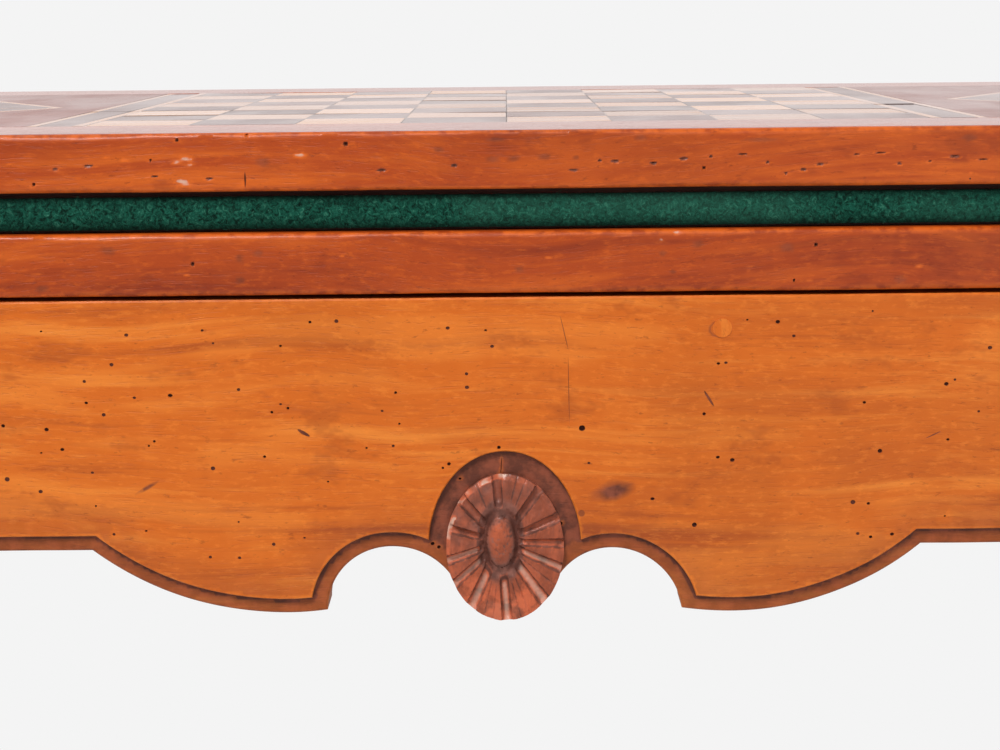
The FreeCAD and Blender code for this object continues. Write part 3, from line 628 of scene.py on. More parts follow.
def finish_node(node, finish_material, bevel=0.0):
    """Give a CAD node its finish and, where asked, softened edges."""
    piece = frame["nodes"][node]
    piece.data.materials.clear()
    piece.data.materials.append(finish_material)
    if bevel:
        weld = piece.modifiers.new("weld", "WELD")
        weld.merge_threshold = 0.01 * MM
        soften = piece.modifiers.new("soften", "BEVEL")
        soften.width = bevel
        soften.segments = 2
        soften.limit_method = "ANGLE"
        soften.angle_limit = math.radians(35)
    level = piece.modifiers.new("level", "WEIGHTED_NORMAL")
    level.keep_sharp = True
    return piece


def ring_quads(first, rings, count):
    """Quads between rings of count points each, the first of which starts at point first."""
    return [(a + j, a + (j + 1) % count, a + count + (j + 1) % count, a + count + j)
            for a in range(first, first + (rings - 1) * count, count) for j in range(count)]


def bridged(rings):
    """Points and quads of a tube through rings of equal length, with both ends closed."""
    count = len(rings[0])
    points = [p for ring in rings for p in ring]
    faces = ring_quads(0, len(rings), count)
    faces.append(tuple(range(count)))
    last = (len(rings) - 1) * count
    faces.append(tuple(last + j for j in reversed(range(count))))
    return points, faces


def spread(low, high, pitch, margin):
    """Places from low to high, close together near the ends."""
    inner = np.linspace(low + margin, high - margin, max(2, round((high - low) / pitch)))
    first = [low, low + margin * 0.3, low + margin * 0.65]
    last = [high - margin * 0.65, high - margin * 0.3, high]
    return first + list(inner) + last


# ---------------------------------------------------------------- rails

def arc(centre, radius, start, end, pitch=1.3 * MM):
    """Points along an arc between two angles in degrees."""
    count = max(2, math.ceil(abs(math.radians(end - start)) * radius / pitch))
    return [(centre[0] + radius * math.cos(a), centre[1] + radius * math.sin(a))
            for a in np.radians(np.linspace(start, end, count + 1))]


def run(start, end, pitch=1.5 * MM):
    """Points along a straight line."""
    count = max(1, math.ceil(math.dist(start, end) / pitch))
    return [(start[0] + (end[0] - start[0]) * i / count,
             start[1] + (end[1] - start[1]) * i / count) for i in range(count + 1)]


def bearing(centre, point):
    return math.degrees(math.atan2(point[1] - centre[1], point[0] - centre[0]))


def circles_meet(a, a_r, b, b_r):
    """The crossing of two circles that lies to the right of the way from a to b."""
    across = b[0] - a[0]
    up = b[1] - a[1]
    apart = math.hypot(across, up)
    along = (apart ** 2 + a_r ** 2 - b_r ** 2) / (2 * apart)
    aside = math.sqrt(a_r ** 2 - along ** 2)
    return (a[0] + (along * across + aside * up) / apart,
            a[1] + (along * up - aside * across) / apart)


def end_of_edge(s, end_x, inset):
    """From a lobe's step along the straight edge and down the bracket."""
    drop = s.straight - s.knee
    start_x = end_x - math.sqrt(2 * s.bracket * drop - drop * drop)
    radius = s.bracket + inset
    low = 90 - math.degrees(math.asin((end_x - start_x) / radius))
    return start_x, arc((start_x, s.straight - s.bracket), radius, 90, low)


def lobe_arc(s, middle_x, bottom, lobe_r, inset, start_angle):
    """A lobe's arc from an angle to where it meets the straight edge."""
    centre = (middle_x, bottom + lobe_r)
    radius = lobe_r - inset
    level = s.straight + inset
    step = (middle_x + math.sqrt(radius ** 2 - (centre[1] - level) ** 2), level)
    return arc(centre, radius, start_angle, bearing(centre, step)), step


def hand_cut(s, side):
    """The arch and the lobe of one side, as unlike the other side's as the carver left them:
    middle and radius of the arch, then middle, lowest point and radius of the lobe."""
    off = s.uneven * side * MM
    arch = (s.arch_x - 1.3 * off, s.arch_z - 1.6 * off)
    return arch, s.arch_r + off, s.lobe_x + 0.75 * off, s.lobe_z - 0.5 * off, (
        s.lobe_r - 2.6 * off)


def arch_flank(s, inset, side):
    """Middle and radius of the arc from the rosette up to an arch's top."""
    (arch_x, arch_z), arch_r = hand_cut(s, side)[:2]
    reach = arch_x - s.arch_in
    drop = arch_z + arch_r - s.arch_foot
    radius = (reach ** 2 + drop ** 2) / (2 * drop)
    return (arch_x, arch_z + arch_r - radius), radius + inset


def front_half(s, end_x, inset, side=1):
    """The front rail's lower edge from the rosette to a leg, set in from its arris."""
    arch, arch_r, lobe_x, lobe_z, lobe_r = hand_cut(s, side)
    arch_r += inset
    lobe = (lobe_x, lobe_z + lobe_r)
    cusp = circles_meet(arch, arch_r, lobe, lobe_r - inset)
    flank, flank_r = arch_flank(s, inset, side)
    foot = (arch[0] - math.sqrt(flank_r ** 2 - (s.arch_foot - flank[1]) ** 2), s.arch_foot)
    over = arc(flank, flank_r, bearing(flank, foot), 90)
    over += arc(arch, arch_r, 90, bearing(arch, cusp))[1:]
    under, step = lobe_arc(s, lobe_x, lobe_z, lobe_r, inset, bearing(lobe, cusp))
    start_x, bracket = end_of_edge(s, end_x, inset)
    straight = run(step, (start_x, step[1]))
    return over + under[1:] + straight[1:] + bracket[1:]


def hood_line(s, end_x, inset, side=1):
    """The edge of the face: round the hood, over the arch, and on as the lower edge goes."""
    a = s.hood_a + inset - s.band
    b = s.hood_b + inset - s.band
    middle_z = (SEAT_ROSETTE_LOW.z + SEAT_ROSETTE_HIGH.z) / 2
    arch, arch_r = arch_flank(s, inset, side)
    low, high = math.radians(-20), math.radians(60)
    for _ in range(40):
        middle = (low + high) / 2
        point = (a * math.cos(middle), middle_z + b * math.sin(middle))
        if math.dist(point, arch) > arch_r:
            high = middle
        else:
            low = middle
    hood = [(a * math.cos(t), middle_z + b * math.sin(t))
            for t in np.linspace(math.pi / 2, high, 44)]
    start = bearing(arch, hood[-1])
    rest = [p for p in front_half(s, end_x, inset, side)
            if p[0] > arch[0] or bearing(arch, p) < start]
    return hood + rest[1:]


def side_half(s, end_x, inset, _side=1):
    """Half of a side rail's lower edge."""
    under, step = lobe_arc(s, 0.0, s.side_lobe_z, s.lobe_r, inset, -90)
    start_x, bracket = end_of_edge(s, end_x, inset)
    return under + run(step, (start_x, step[1]))[1:] + bracket[1:]


def plain_half(s, end_x, inset, _side=1):
    """Half of the back rail's lower edge."""
    start_x, bracket = end_of_edge(s, end_x, inset)
    return run((0.0, s.straight + inset), (start_x, s.straight + inset)) + bracket[1:]


def whole_line(half, s, end_x, inset):
    """A line from the left leg to the right one, from its two halves."""
    right = half(s, end_x, inset, 1)
    left = [(-x, z) for x, z in reversed(half(s, end_x, inset, -1))]
    return left[:-1] + right if abs(right[0][0]) < 1e-9 else left + right


def rosette_tongue(s):
    """The lower edge behind the rosette: the foot of one arch, an oval, the other foot."""
    lo, hi = SEAT_ROSETTE_LOW, SEAT_ROSETTE_HIGH
    a = (hi.x - lo.x) / 2 - 1 * MM
    b = (hi.z - lo.z) / 2 - 1 * MM
    middle_z = (lo.z + hi.z) / 2
    corner = math.asin((s.arch_foot - middle_z) / b)
    return [(a * math.cos(t), middle_z + b * math.sin(t))
            for t in np.linspace(math.pi - corner, 2 * math.pi + corner, 48)]


def distance_to(line, xs, zs):
    """The distance from each place to a line of short runs."""
    a = np.array(line[:-1])
    b = np.array(line[1:])
    run_x, run_z = (b - a).T
    size = np.maximum(run_x ** 2 + run_z ** 2, 1e-18)
    near = np.full(len(xs), 1e9)
    for ax, az, rx, rz, n in zip(a[:, 0], a[:, 1], run_x, run_z, size):
        t = np.clip(((xs - ax) * rx + (zs - az) * rz) / n, 0, 1)
        near = np.minimum(near, np.hypot(xs - ax - t * rx, zs - az - t * rz))
    return near


def worm_holes(s, wear, end_x, count, rng):
    """Marks of worm holes, thicker on the left of the rail. Each mark in a rail is its place,
    half width and half height, turn, depth, dirt and kind."""
    holes = []
    while len(holes) < count:
        x = rng.uniform(-end_x * 0.97, end_x * 0.97)
        z = rng.uniform(s.straight - 4 * MM, RAIL_TOP - 6 * MM)
        cluster = 0.5 + 0.5 * ripple(x, 0.0, z, 0.06, 4)
        if rng.random() > cluster * (0.95 if x < -0.03 else 0.6):
            continue
        radius = wear.worm * rng.uniform(0.5, 1.25)
        squash = rng.uniform(0.75, 1.0)
        deep = rng.random() < 0.45
        if all(math.dist((x, z), mark[:2]) > radius + mark[2] + 1.2 * MM for mark in holes):
            holes.append((x, z, radius, radius * squash, 0.0, (1.0 if deep else 0.3) * MM,
                          1.9 if deep else 1.65, "hole"))
    return holes


# marks in the front rail in millimetres: place, half length, half height, turn in degrees,
# depth, dirt and kind
MARK_RINGS = {"hole": ((1.0, 0.0), (0.8, 1.0)), "ring": ((1.0, 0.0), (0.8, 1.0), (0.62, 0.0)),
              "stain": ((1.0, 0.0), (0.66, 0.45), (0.33, 1.0))}
RAIL_MARKS = (
    # the nail hole, and holes along the hood and beside the left arch
    (28.8, 650.3, 1.2, 1.2, 0, 1.6, 2.0, "hole"),
    (-1.9, 643.4, 0.7, 0.7, 0, 1.2, 1.9, "hole"),
    (-20.4, 637.2, 0.7, 0.7, 0, 1.2, 1.9, "hole"),
    (-22.7, 635.7, 0.5, 0.5, 0, 1.0, 1.9, "hole"),
    (-27.0, 606.2, 0.8, 0.7, 0, 1.2, 1.9, "hole"),
    (-24.7, 604.9, 0.7, 0.7, 0, 1.2, 1.9, "hole"),
    # scratches and cracks
    (-73.8, 649.6, 2.8, 0.7, -30, 0.3, 1.0, "hole"),
    (75.3, 661.0, 3.8, 0.5, -58, 0.2, 0.8, "hole"),
    (158.0, 646.8, 3.4, 0.3, 25, 0.1, 0.7, "hole"),
    (22.3, 686.0, 7.0, 0.15, -77, 0.1, 0.7, "hole"),
    (23.9, 664.5, 14.0, 0.15, -89, 0.1, 0.6, "hole"),
    (-1.2, 635.6, 3.6, 0.2, 86, 0.4, 1.2, "hole"),
    # dirt round the plug over the cross rail's screw, a smear and an old stain
    (78.8, 686.7, 4.3, 3.5, 0, 0.03, 0.45, "ring"),
    (-132.0, 629.5, 5.5, 1.0, 30, 0.05, 0.7, "stain"),
    (40.5, 626.4, 9.0, 4.4, 14, 0.02, 0.85, "stain"))


class RailFace:
    """The drawing of a rail's face: its lines, its marks and how deep each place lies. A
    point's depth is None where it follows from the point's place."""

    # how far in the arris that wear has rounded reaches, and how deep the band's shoulder lies;
    # the shoulder is lightened as wear and as a painted highlight
    soft = 0.7 * MM
    shoulder = 0.35 * MM

    def __init__(self, s, wear, half, end_x, band, hood, holes, seed):
        self.s = s
        self.half = half
        self.end_x = end_x
        self.band = band
        self.hood = hood
        self.seed = seed
        self.edge_line = hood_line if hood else half
        self.lower_edge = whole_line(half, s, end_x, 0.0)
        self.face_line = whole_line(self.edge_line, s, end_x, s.band)
        self.outline = self.closed_outline()
        self.points = list(self.outline)
        self.depths = [0.5 * MM if z > RAIL_TOP - self.soft else None for _, z in self.outline]
        self.edges = []
        self.marks = self.clear_marks(wear, holes)
        self.draw_lines()
        for mark in self.marks:
            self.draw_mark(*mark)
        self.fill()

    def closed_outline(self):
        """The lower edge, the two ends and the top edge."""
        end_x = self.end_x
        if self.hood:
            left = [(-x, z) for x, z in reversed(self.half(self.s, end_x, 0.0, -1))]
            outline = left + rosette_tongue(self.s) + self.half(self.s, end_x, 0.0, 1)
        else:
            outline = list(self.lower_edge)
        outline += run((end_x, outline[-1][1]), (end_x, RAIL_TOP), 6 * MM)[1:]
        outline += run((end_x, RAIL_TOP), (-end_x, RAIL_TOP), 6 * MM)[1:]
        return outline + run((-end_x, RAIL_TOP), (-end_x, outline[0][1]), 6 * MM)[1:-1]

    def clear_marks(self, wear, count):
        """The worm holes that keep off the edges and off the old marks, and those marks."""
        bored = []
        if count:
            bored = worm_holes(self.s, wear, self.end_x, count, random.Random(self.seed))
            at_x, at_z = np.array([hole[:2] for hole in bored]).T
            free = distance_to(self.lower_edge, at_x, at_z) > 2.2 * MM
            free &= distance_to(self.face_line, at_x, at_z) > 1.8 * MM
            free &= inside_outline(self.outline, np.column_stack([at_x, at_z]))
            bored = [hole for hole, keep_it in zip(bored, free) if keep_it]
        if not self.hood:
            return bored
        old = [(x * MM, z * MM, half_x * MM, half_z * MM, math.radians(turn), depth * MM, dirt,
                kind) for x, z, half_x, half_z, turn, depth, dirt, kind in RAIL_MARKS]
        return [hole for hole in bored
                if all(math.hypot(hole[0] - mark[0], hole[1] - mark[1]) > mark[2] + 2 * MM
                       for mark in old)] + old

    def draw(self, line, depth, closed=False):
        """Add a line of points of one depth and the edges that join them."""
        first = len(self.points)
        count = len(line)
        self.points += line
        self.depths += [depth] * count
        self.edges += [(first + i, first + (i + 1) % count)
                       for i in range(count if closed else count - 1)]

    def draw_lines(self):
        s, end_x = self.s, self.end_x
        wall = 0.16 * MM
        steps = ((0.55 * MM, 0.0), (wall, self.shoulder), (-wall, s.sunk - 0.1 * MM))
        for inset, depth in steps if self.band else ():
            self.draw(whole_line(self.edge_line, s, end_x, s.band + inset), depth)
        for side in (1, -1):
            self.draw([(side * x, z) for x, z in self.half(s, end_x, self.soft, side)], None)
        top = RAIL_TOP - self.soft
        self.draw(run((-end_x, top), (end_x, top), 6 * MM), 0.0)

    def draw_mark(self, x, z, half_x, half_z, turn, depth, dirt, kind):
        """Add a mark's rings, each of ten points."""
        for share_r, full in MARK_RINGS[kind]:
            ring = []
            for i in range(10):
                angle = math.pi * i / 5 + 0.3
                uneven = 1.0 + (0.3 * ripple(i * 1.7, share_r * 9, x, 1.0, 8)
                                if kind == "stain" else 0.0)
                u = half_x * share_r * uneven * math.cos(angle)
                v = half_z * share_r * uneven * math.sin(angle)
                ring.append((x + u * math.cos(turn) - v * math.sin(turn),
                             z + u * math.sin(turn) + v * math.cos(turn)))
            self.draw(ring, ("mark", depth * full, dirt * full), closed=True)

    def fill(self):
        """Fill the face with places: coarse where it is plain, fine beside the carving."""
        s, end_x = self.s, self.end_x
        pitch = 4.0 * MM
        fine = 1.5 * MM
        grid = []
        for i in range(int((RAIL_TOP - s.knee) / (pitch * 0.87))):
            z = RAIL_TOP - (i + 0.8) * pitch * 0.87
            shift = pitch / 2 if i % 2 else 0.0
            grid += [(x + shift, z) for x in np.arange(-end_x + pitch, end_x - pitch, pitch)]
        coarse = len(grid)
        for i, z in enumerate(np.arange(s.knee, s.straight + 44 * MM, fine)):
            grid += [(x + (i % 2) * fine / 2, z) for x in np.arange(-end_x + fine, end_x, fine)
                     if z < s.straight + 8 * MM or abs(x) < s.hood_a + 4 * MM]
        grid = np.array(grid)
        xs, zs = grid.T
        border = self.outline + [self.outline[0]]
        keep = inside_outline(self.outline, grid) & (distance_to(border, xs, zs) > 1.0 * MM)
        if self.band:
            keep &= distance_to(self.face_line, xs, zs) > 0.9 * MM
        zone = distance_to(self.lower_edge, xs, zs) < s.band + 3 * MM
        if self.hood:
            zone |= (xs / (s.hood_a + 3 * MM)) ** 2 + (
                (zs - s.straight) / (s.hood_b + 3 * MM)) ** 2 < 1
        keep &= np.where(np.arange(len(grid)) < coarse, ~zone, zone)
        for x, z, half_x, half_z, turn, *_ in self.marks:
            u = (xs - x) * math.cos(turn) + (zs - z) * math.sin(turn)
            v = (zs - z) * math.cos(turn) - (xs - x) * math.sin(turn)
            keep &= np.hypot(u / (half_x + 0.2 * MM), v / (half_z + 0.2 * MM)) > 1.2
        self.points += map(tuple, grid[keep])
        self.depths += [None] * int(keep.sum())

    def cut_at(self, x, z, source, to_edge, on_face):
        """How deep a place lies, its dirt and painted shade, and its wear and painted highlight.
        """
        s = self.s
        if isinstance(source, tuple):
            return source[1] + (0 if on_face else s.sunk), source[2] + (0 if on_face else 0.5), 0.0
        depth = hollow = worn = 0.0
        if source is not None:
            depth = source
            # painted shade: the foot of the band's wall is near-black; the lines beside it are
            # lightened as wear and as a painted highlight, the shoulder most
            deep = source > 1 * MM
            hollow = 1.3 if deep else 0.0
            if not deep:
                worn = 1.0 if abs(source - self.shoulder) < 1e-6 else 0.35
        elif on_face:
            # the face is darker beside the carving
            near = max(0.0, 1 - (to_edge - s.band) / (16 * MM)) if self.band else 0.0
            hollow = 0.22 * near * (1 + 0.9 * ripple(x, 7.0, z, 0.03, self.seed))
        else:
            # the band is a shallow cove that falls to its outer arris
            share_out = 1 - min(1.0, to_edge / s.band)
            depth = s.sunk + 0.5 * MM * share_out ** 2
            hollow = 0.62 - 0.16 * share_out
            # in the hood: old wax and dirt, and painted shade that deepens towards the flower
            if to_edge > s.band * 1.05:
                oval = math.hypot(x / (s.hood_a - 6 * MM), (z - s.straight) / (s.hood_b - 8 * MM))
                depth = s.sunk + 0.6 * MM * max(0.0, 1.25 - oval)
                hollow = 0.78 + 0.3 * max(0.0, 1.15 - oval)
        if to_edge < 0.2 * MM and self.band:
            depth = s.sunk + 1.1 * MM
            worn = 0.4
        elif to_edge < 0.2 * MM:
            depth = 0.5 * MM
        return depth, hollow, worn

    def triangulated(self):
        """The face's points with their dirt and wear, and its triangles."""
        made, _, triangles, came_from, _, _ = delaunay_2d_cdt(
            [Vector(p) for p in self.points], self.edges, [list(range(len(self.outline)))], 1,
            1e-7)
        xs = np.array([p.x for p in made])
        zs = np.array([p.y for p in made])
        to_edge = distance_to(self.lower_edge, xs, zs)
        on_face = np.ones(len(xs), bool)
        if self.band:
            on_face = above_line(self.face_line, xs, zs)
        places = []
        for x, z, origin, gap, above in zip(xs, zs, came_from, to_edge, on_face):
            source = next((self.depths[k] for k in origin if self.depths[k] is not None), None)
            depth, hollow, worn = self.cut_at(x, z, source, gap, above)
            depth += 0.10 * MM * (1 + ripple(x, 0.0, z, 0.09, self.seed)) * (depth < 1 * MM)
            if abs(x) <= self.end_x - 1e-6 and z <= RAIL_TOP - 1 * MM:
                sway_x = 0.22 * MM * ripple(x, 1.0, z, 0.035, self.seed)
                sway_z = 0.30 * MM * ripple(x, 2.0, z, 0.030, self.seed)
                x, z = x + sway_x, z + sway_z
            places.append(((x, depth, z), hollow, worn))
        return places, triangles


def carved_rail(name, face, finish_material, node, place):
    """A rail with a carved face. Its front is at y=0 until place carries it to the frame."""
    places, triangles = face.triangulated()
    solid = bmesh.new()
    keep_hollow = solid.verts.layers.float.new("hollow")
    keep_wear_and_highlight = solid.verts.layers.float.new("worn")
    verts = []
    for point, hollow, worn in places:
        vert = solid.verts.new(point)
        vert[keep_hollow] = hollow
        vert[keep_wear_and_highlight] = worn
        verts.append(vert)
    for triangle in triangles:
        solid.faces.new([verts[k] for k in triangle])
    rim = [e for e in solid.edges if e.is_boundary]
    for vert in bmesh.ops.extrude_edge_only(solid, edges=rim)["geom"]:
        if isinstance(vert, bmesh.types.BMVert):
            vert.co.y = RAIL_T
            vert[keep_hollow] = 0.4
            vert[keep_wear_and_highlight] = 0.0
    rim = [e for e in solid.edges if e.is_boundary]
    bmesh.ops.triangle_fill(solid, use_beauty=True, edges=rim)
    bmesh.ops.recalc_face_normals(solid, faces=solid.faces)
    solid.transform(place)
    solid.verts.index_update()
    points = [tuple(vert.co) for vert in solid.verts]
    fields = {"hollow": [vert[keep_hollow] for vert in solid.verts],
              "worn": [vert[keep_wear_and_highlight] for vert in solid.verts]}
    # bmesh lists these faces in a new order each time, so they are put in one that stays
    faces = sorted(from_lowest([vert.index for vert in face.verts]) for face in solid.faces)
    solid.free()
    return make_piece(name, points, faces, finish_material, "frame", fields, [node],
                      sharp=34.0, closed=False)


def from_lowest(corners):
    """A face's corners in the same turn, from the lowest number on."""
    start = corners.index(min(corners))
    return tuple(corners[start:] + corners[:start])


def inside_outline(outline, places):
    """Which places lie inside a closed outline."""
    xs, zs = places[:, 0], places[:, 1]
    inside = np.zeros(len(places), bool)
    for (ax, az), (bx, bz) in zip(outline, outline[1:] + outline[:1]):
        crosses = (az > zs) != (bz > zs)
        with np.errstate(divide="ignore", invalid="ignore"):
            at = ax + (zs - az) * (bx - ax) / (bz - az)
        inside ^= crosses & (xs < at)
    return inside


def above_line(line, xs, zs):
    """Which places lie above a line that runs from end to end of a rail."""
    closed = line + [(line[-1][0] + 1, line[-1][1]), (line[-1][0] + 1, RAIL_TOP + 1),
                     (line[0][0] - 1, RAIL_TOP + 1), (line[0][0] - 1, line[0][1])]
    return inside_outline(closed, np.column_stack([xs, zs]))


# ---------------------------------------------------------------- rosette

# bearing of each gouged groove from the seed in degrees, and its half width at the rim in
# millimetres
GROOVES = ((93, 1.9), (54, 2.0), (23, 2.2), (-2, 1.9), (-25, 2.0), (-55, 2.6), (-86, 2.1),
           (-114, 2.5), (-137, 1.9), (-160, 2.0), (165, 1.8), (132, 2.2))
# bearings of the fine cuts that split some petals
SPLITS = (76, 68, -69, -76, -96, -103, -40, 112)


def rosette_height(s, x, z, a, b, crown):
    """How far the flower stands out of its seat at a place, its dirt and painted shade, and its
    wear and painted highlights.
    """
    share_r = math.hypot(x / a, z / b)
    x -= s.boss_x
    z -= s.boss_up
    radius = math.hypot(x, z)
    angle = math.degrees(math.atan2(z, x))
    height = crown * (1.0 - 0.16 * share_r ** 2)
    hollow = 0.16
    worn = 0.0
    seed = math.hypot(x / s.boss_a, z / s.boss_b)
    if seed < 1.0:
        dome = (1 - seed ** 2.2) ** 0.5
        dent = 0.25 * MM * ripple(x, z, 0.0, 0.0022, 3)
        pit = ripple(x, z, 0.0, 0.0011, 14)
        dent += 0.22 * MM * pit
        # the seed: painted shade round its foot and dirt in its pits; its upper half is lightened
        # as a painted highlight
        hollow = 0.1 + 1.3 * seed ** 6 + 1.8 * max(0.0, -pit - 0.12)
        return height + 2.4 * MM * dome - 1.2 * MM + dent * dome, hollow, (
            1.15 * dome * max(0.0, z / s.boss_b + 0.1))
    # the ring round the seed sinks and is painted in shade, most beside it
    dip = max(0.0, 1 - abs(seed - 1.2) / 0.55)
    dip *= 0.35 + 0.65 * min(1.0, 1.6 * abs(math.cos(math.radians(angle))))
    cut = 0.0
    for bearing_of, half_width in GROOVES:
        turn = math.radians((angle - bearing_of + 180) % 360 - 180)
        if abs(turn) > 0.6:
            continue
        aside = abs(math.sin(turn)) * radius
        half_w = half_width * MM * (0.62 + 0.38 * share_r)
        if aside < half_w:
            profile = math.sqrt(1 - (aside / half_w) ** 2)
            start = clamp((seed - 1.25) / 0.35)
            cut = max(cut, profile * start)
    split = 0.0
    for bearing_of in SPLITS:
        turn = math.radians((angle - bearing_of + 180) % 360 - 180)
        aside = abs(math.sin(turn)) * radius
        if abs(turn) < 0.3 and seed > 1.7 and aside < 0.35 * MM:
            split = max(split, 1 - aside / (0.35 * MM))
    rim = max(0.0, share_r - 0.93) / 0.07 * (z < 0)
    height -= s.groove * cut * (0.6 + 0.4 * share_r) * (1 - 0.75 * rim)
    height -= 0.35 * MM * split
    height -= 2.5 * MM * dip ** 1.2
    # old wax and dirt on the groove floors; painted shade on their walls and in the ring round the
    # seed; the splits are darker
    wall = max(0.0, 1 - abs(cut - 0.45) / 0.35)
    hollow += 0.35 * max(0.0, cut - 0.15) + 1.15 * wall + 0.6 * split + 2.1 * dip
    # the grooves' lips and the lower petals are paler
    edge = max(0.0, 1 - abs(cut - 0.12) / 0.12)
    low_side = max(0.0, -math.sin(math.radians(angle)) - 0.55)
    clear_of_seed = clamp((seed - 1.5) / 0.9)
    worn = 1.1 * edge * (1 - dip) + 2.6 * low_side * (1 - cut) * clear_of_seed
    worn = min(1.2, worn)
    # a painted highlight on the groove floors, strongest in the lower grooves
    lit = clamp(0.75 - math.sin(math.radians(angle)))
    worn = max(worn, lit * (1 + 0.55 * max(0.0, cut - 0.72) / 0.28) * (cut > 0.72) * (1 - dip))
    chip = ripple(x, 0.0, z, 0.0045, 9)
    if share_r > 0.92:
        upper = max(0.0, math.sin(math.radians(angle - 30)))
        height -= (share_r - 0.92) / 0.08 * (0.5 + 0.5 * upper) * MM
        lift = max(0.0, chip + 0.35 * upper) * (0.15 + upper)
        height -= 1.1 * MM * lift
        worn = max(worn, min(1.9, lift * 4.5))
        hollow *= 1 - 0.8 * min(1.0, lift * 2)
    # each petal's face is a facet of its own, and pitted; the upper petals are darker
    facet = ripple(math.cos(math.radians(angle)), math.sin(math.radians(angle)), 0, 0.22, 8)
    height += 0.5 * MM * facet * (1 - cut) * (1 - dip) * (seed > 1.3)
    upper = max(0.0, math.sin(math.radians(angle - 40)) + 0.2)
    hollow += 0.3 * upper * (1 - cut) * (1 + ripple(x, 5.0, z, 0.004, 6))
    pit = ripple(x, 3.0, z, 0.0013, 5)
    height += 0.16 * MM * pit
    hollow += 0.5 * max(0.0, -pit - 0.25)
    return height, min(1.5, hollow), worn


def carved_rosette(s, finish_material):
    """The oval flower over the middle of the front rail."""
    lo, hi = SEAT_ROSETTE_LOW, SEAT_ROSETTE_HIGH
    a = (hi.x - lo.x) / 2
    b = (hi.z - lo.z) / 2
    middle_z = (lo.z + hi.z) / 2
    seat = hi.y
    crown = seat - lo.y - 1.25 * MM
    spokes, turns = 66, 420
    points, hollows, wear_and_highlights = [], [], []

    def stand(x, z, y, hollow, worn):
        points.append((x, y, middle_z + z))
        hollows.append(hollow)
        wear_and_highlights.append(worn)

    height, hollow, worn = rosette_height(s, 0.0, 0.0, a, b, crown)
    stand(0.0, 0.0, seat - height, hollow, worn)
    for i in range(1, spokes + 1):
        for j in range(turns):
            angle = 2 * math.pi * j / turns
            trim = 1 - 0.006 * (1 + ripple(math.cos(angle), math.sin(angle), 0, 0.16, 2))
            share_r = (i / spokes) * trim
            x = a * share_r * math.cos(angle)
            z = b * share_r * math.sin(angle)
            height, hollow, worn = rosette_height(s, x, z, a, b, crown)
            stand(x, z, seat - max(0.5 * MM, height), hollow, worn)
    for j in range(turns):
        x, _, z = points[1 + (spokes - 1) * turns + j]
        stand(x, z - middle_z, seat + 0.4 * MM, 0.9, 0.0)
    faces = [(0, 1 + (j + 1) % turns, 1 + j) for j in range(turns)]
    faces += ring_quads(1, spokes + 1, turns)
    last = 1 + spokes * turns
    faces.append(tuple(last + j for j in range(turns)))
    return make_piece("carved_rosette", points, faces, finish_material, "frame",
                      {"hollow": hollows, "worn": wear_and_highlights}, ["rosette"], 45.0)


# ---------------------------------------------------------------- legs

# height, outward shift of the middle, half width and corner radius, in millimetres
LEG_SHAPE = ((604, 0.0, 24.0, 1.2), (575, 2.2, 26.2, 3.2), (545, 3.6, 27.2, 5.0),
             (480, 3.6, 24.0, 5.9), (400, 1.0, 19.5, 5.8), (290, -5.6, 14.8, 5.0),
             (170, -12.5, 12.2, 4.3), (105, -12.2, 11.9, 4.3), (60, -8.0, 13.0, 4.4),
             (26, -1.0, 15.4, 5.4), (0, 4.5, 17.0, 6.0))
LEG_TOP = LEG_SHAPE[0][0] * MM


def leg_size(z):
    """Shift, half width and corner radius of the leg at a height."""
    table = np.array(LEG_SHAPE, float)[::-1]
    at = z / MM
    i = int(np.clip(np.searchsorted(table[:, 0], at) - 1, 0, len(table) - 2))
    before, after = table[max(i - 1, 0)], table[min(i + 2, len(table) - 1)]
    low, high = table[i], table[i + 1]
    gap = high[0] - low[0]
    t = (at - low[0]) / gap
    slope_low = (high - before) / max(high[0] - before[0], 1e-6) * gap
    slope_high = (after - low) / max(after[0] - low[0], 1e-6) * gap
    value = ((2 * t ** 3 - 3 * t ** 2 + 1) * low + (t ** 3 - 2 * t ** 2 + t) * slope_low
             + (3 * t ** 2 - 2 * t ** 3) * high + (t ** 3 - t ** 2) * slope_high)
    return value[1] * MM, value[2] * MM, value[3] * MM


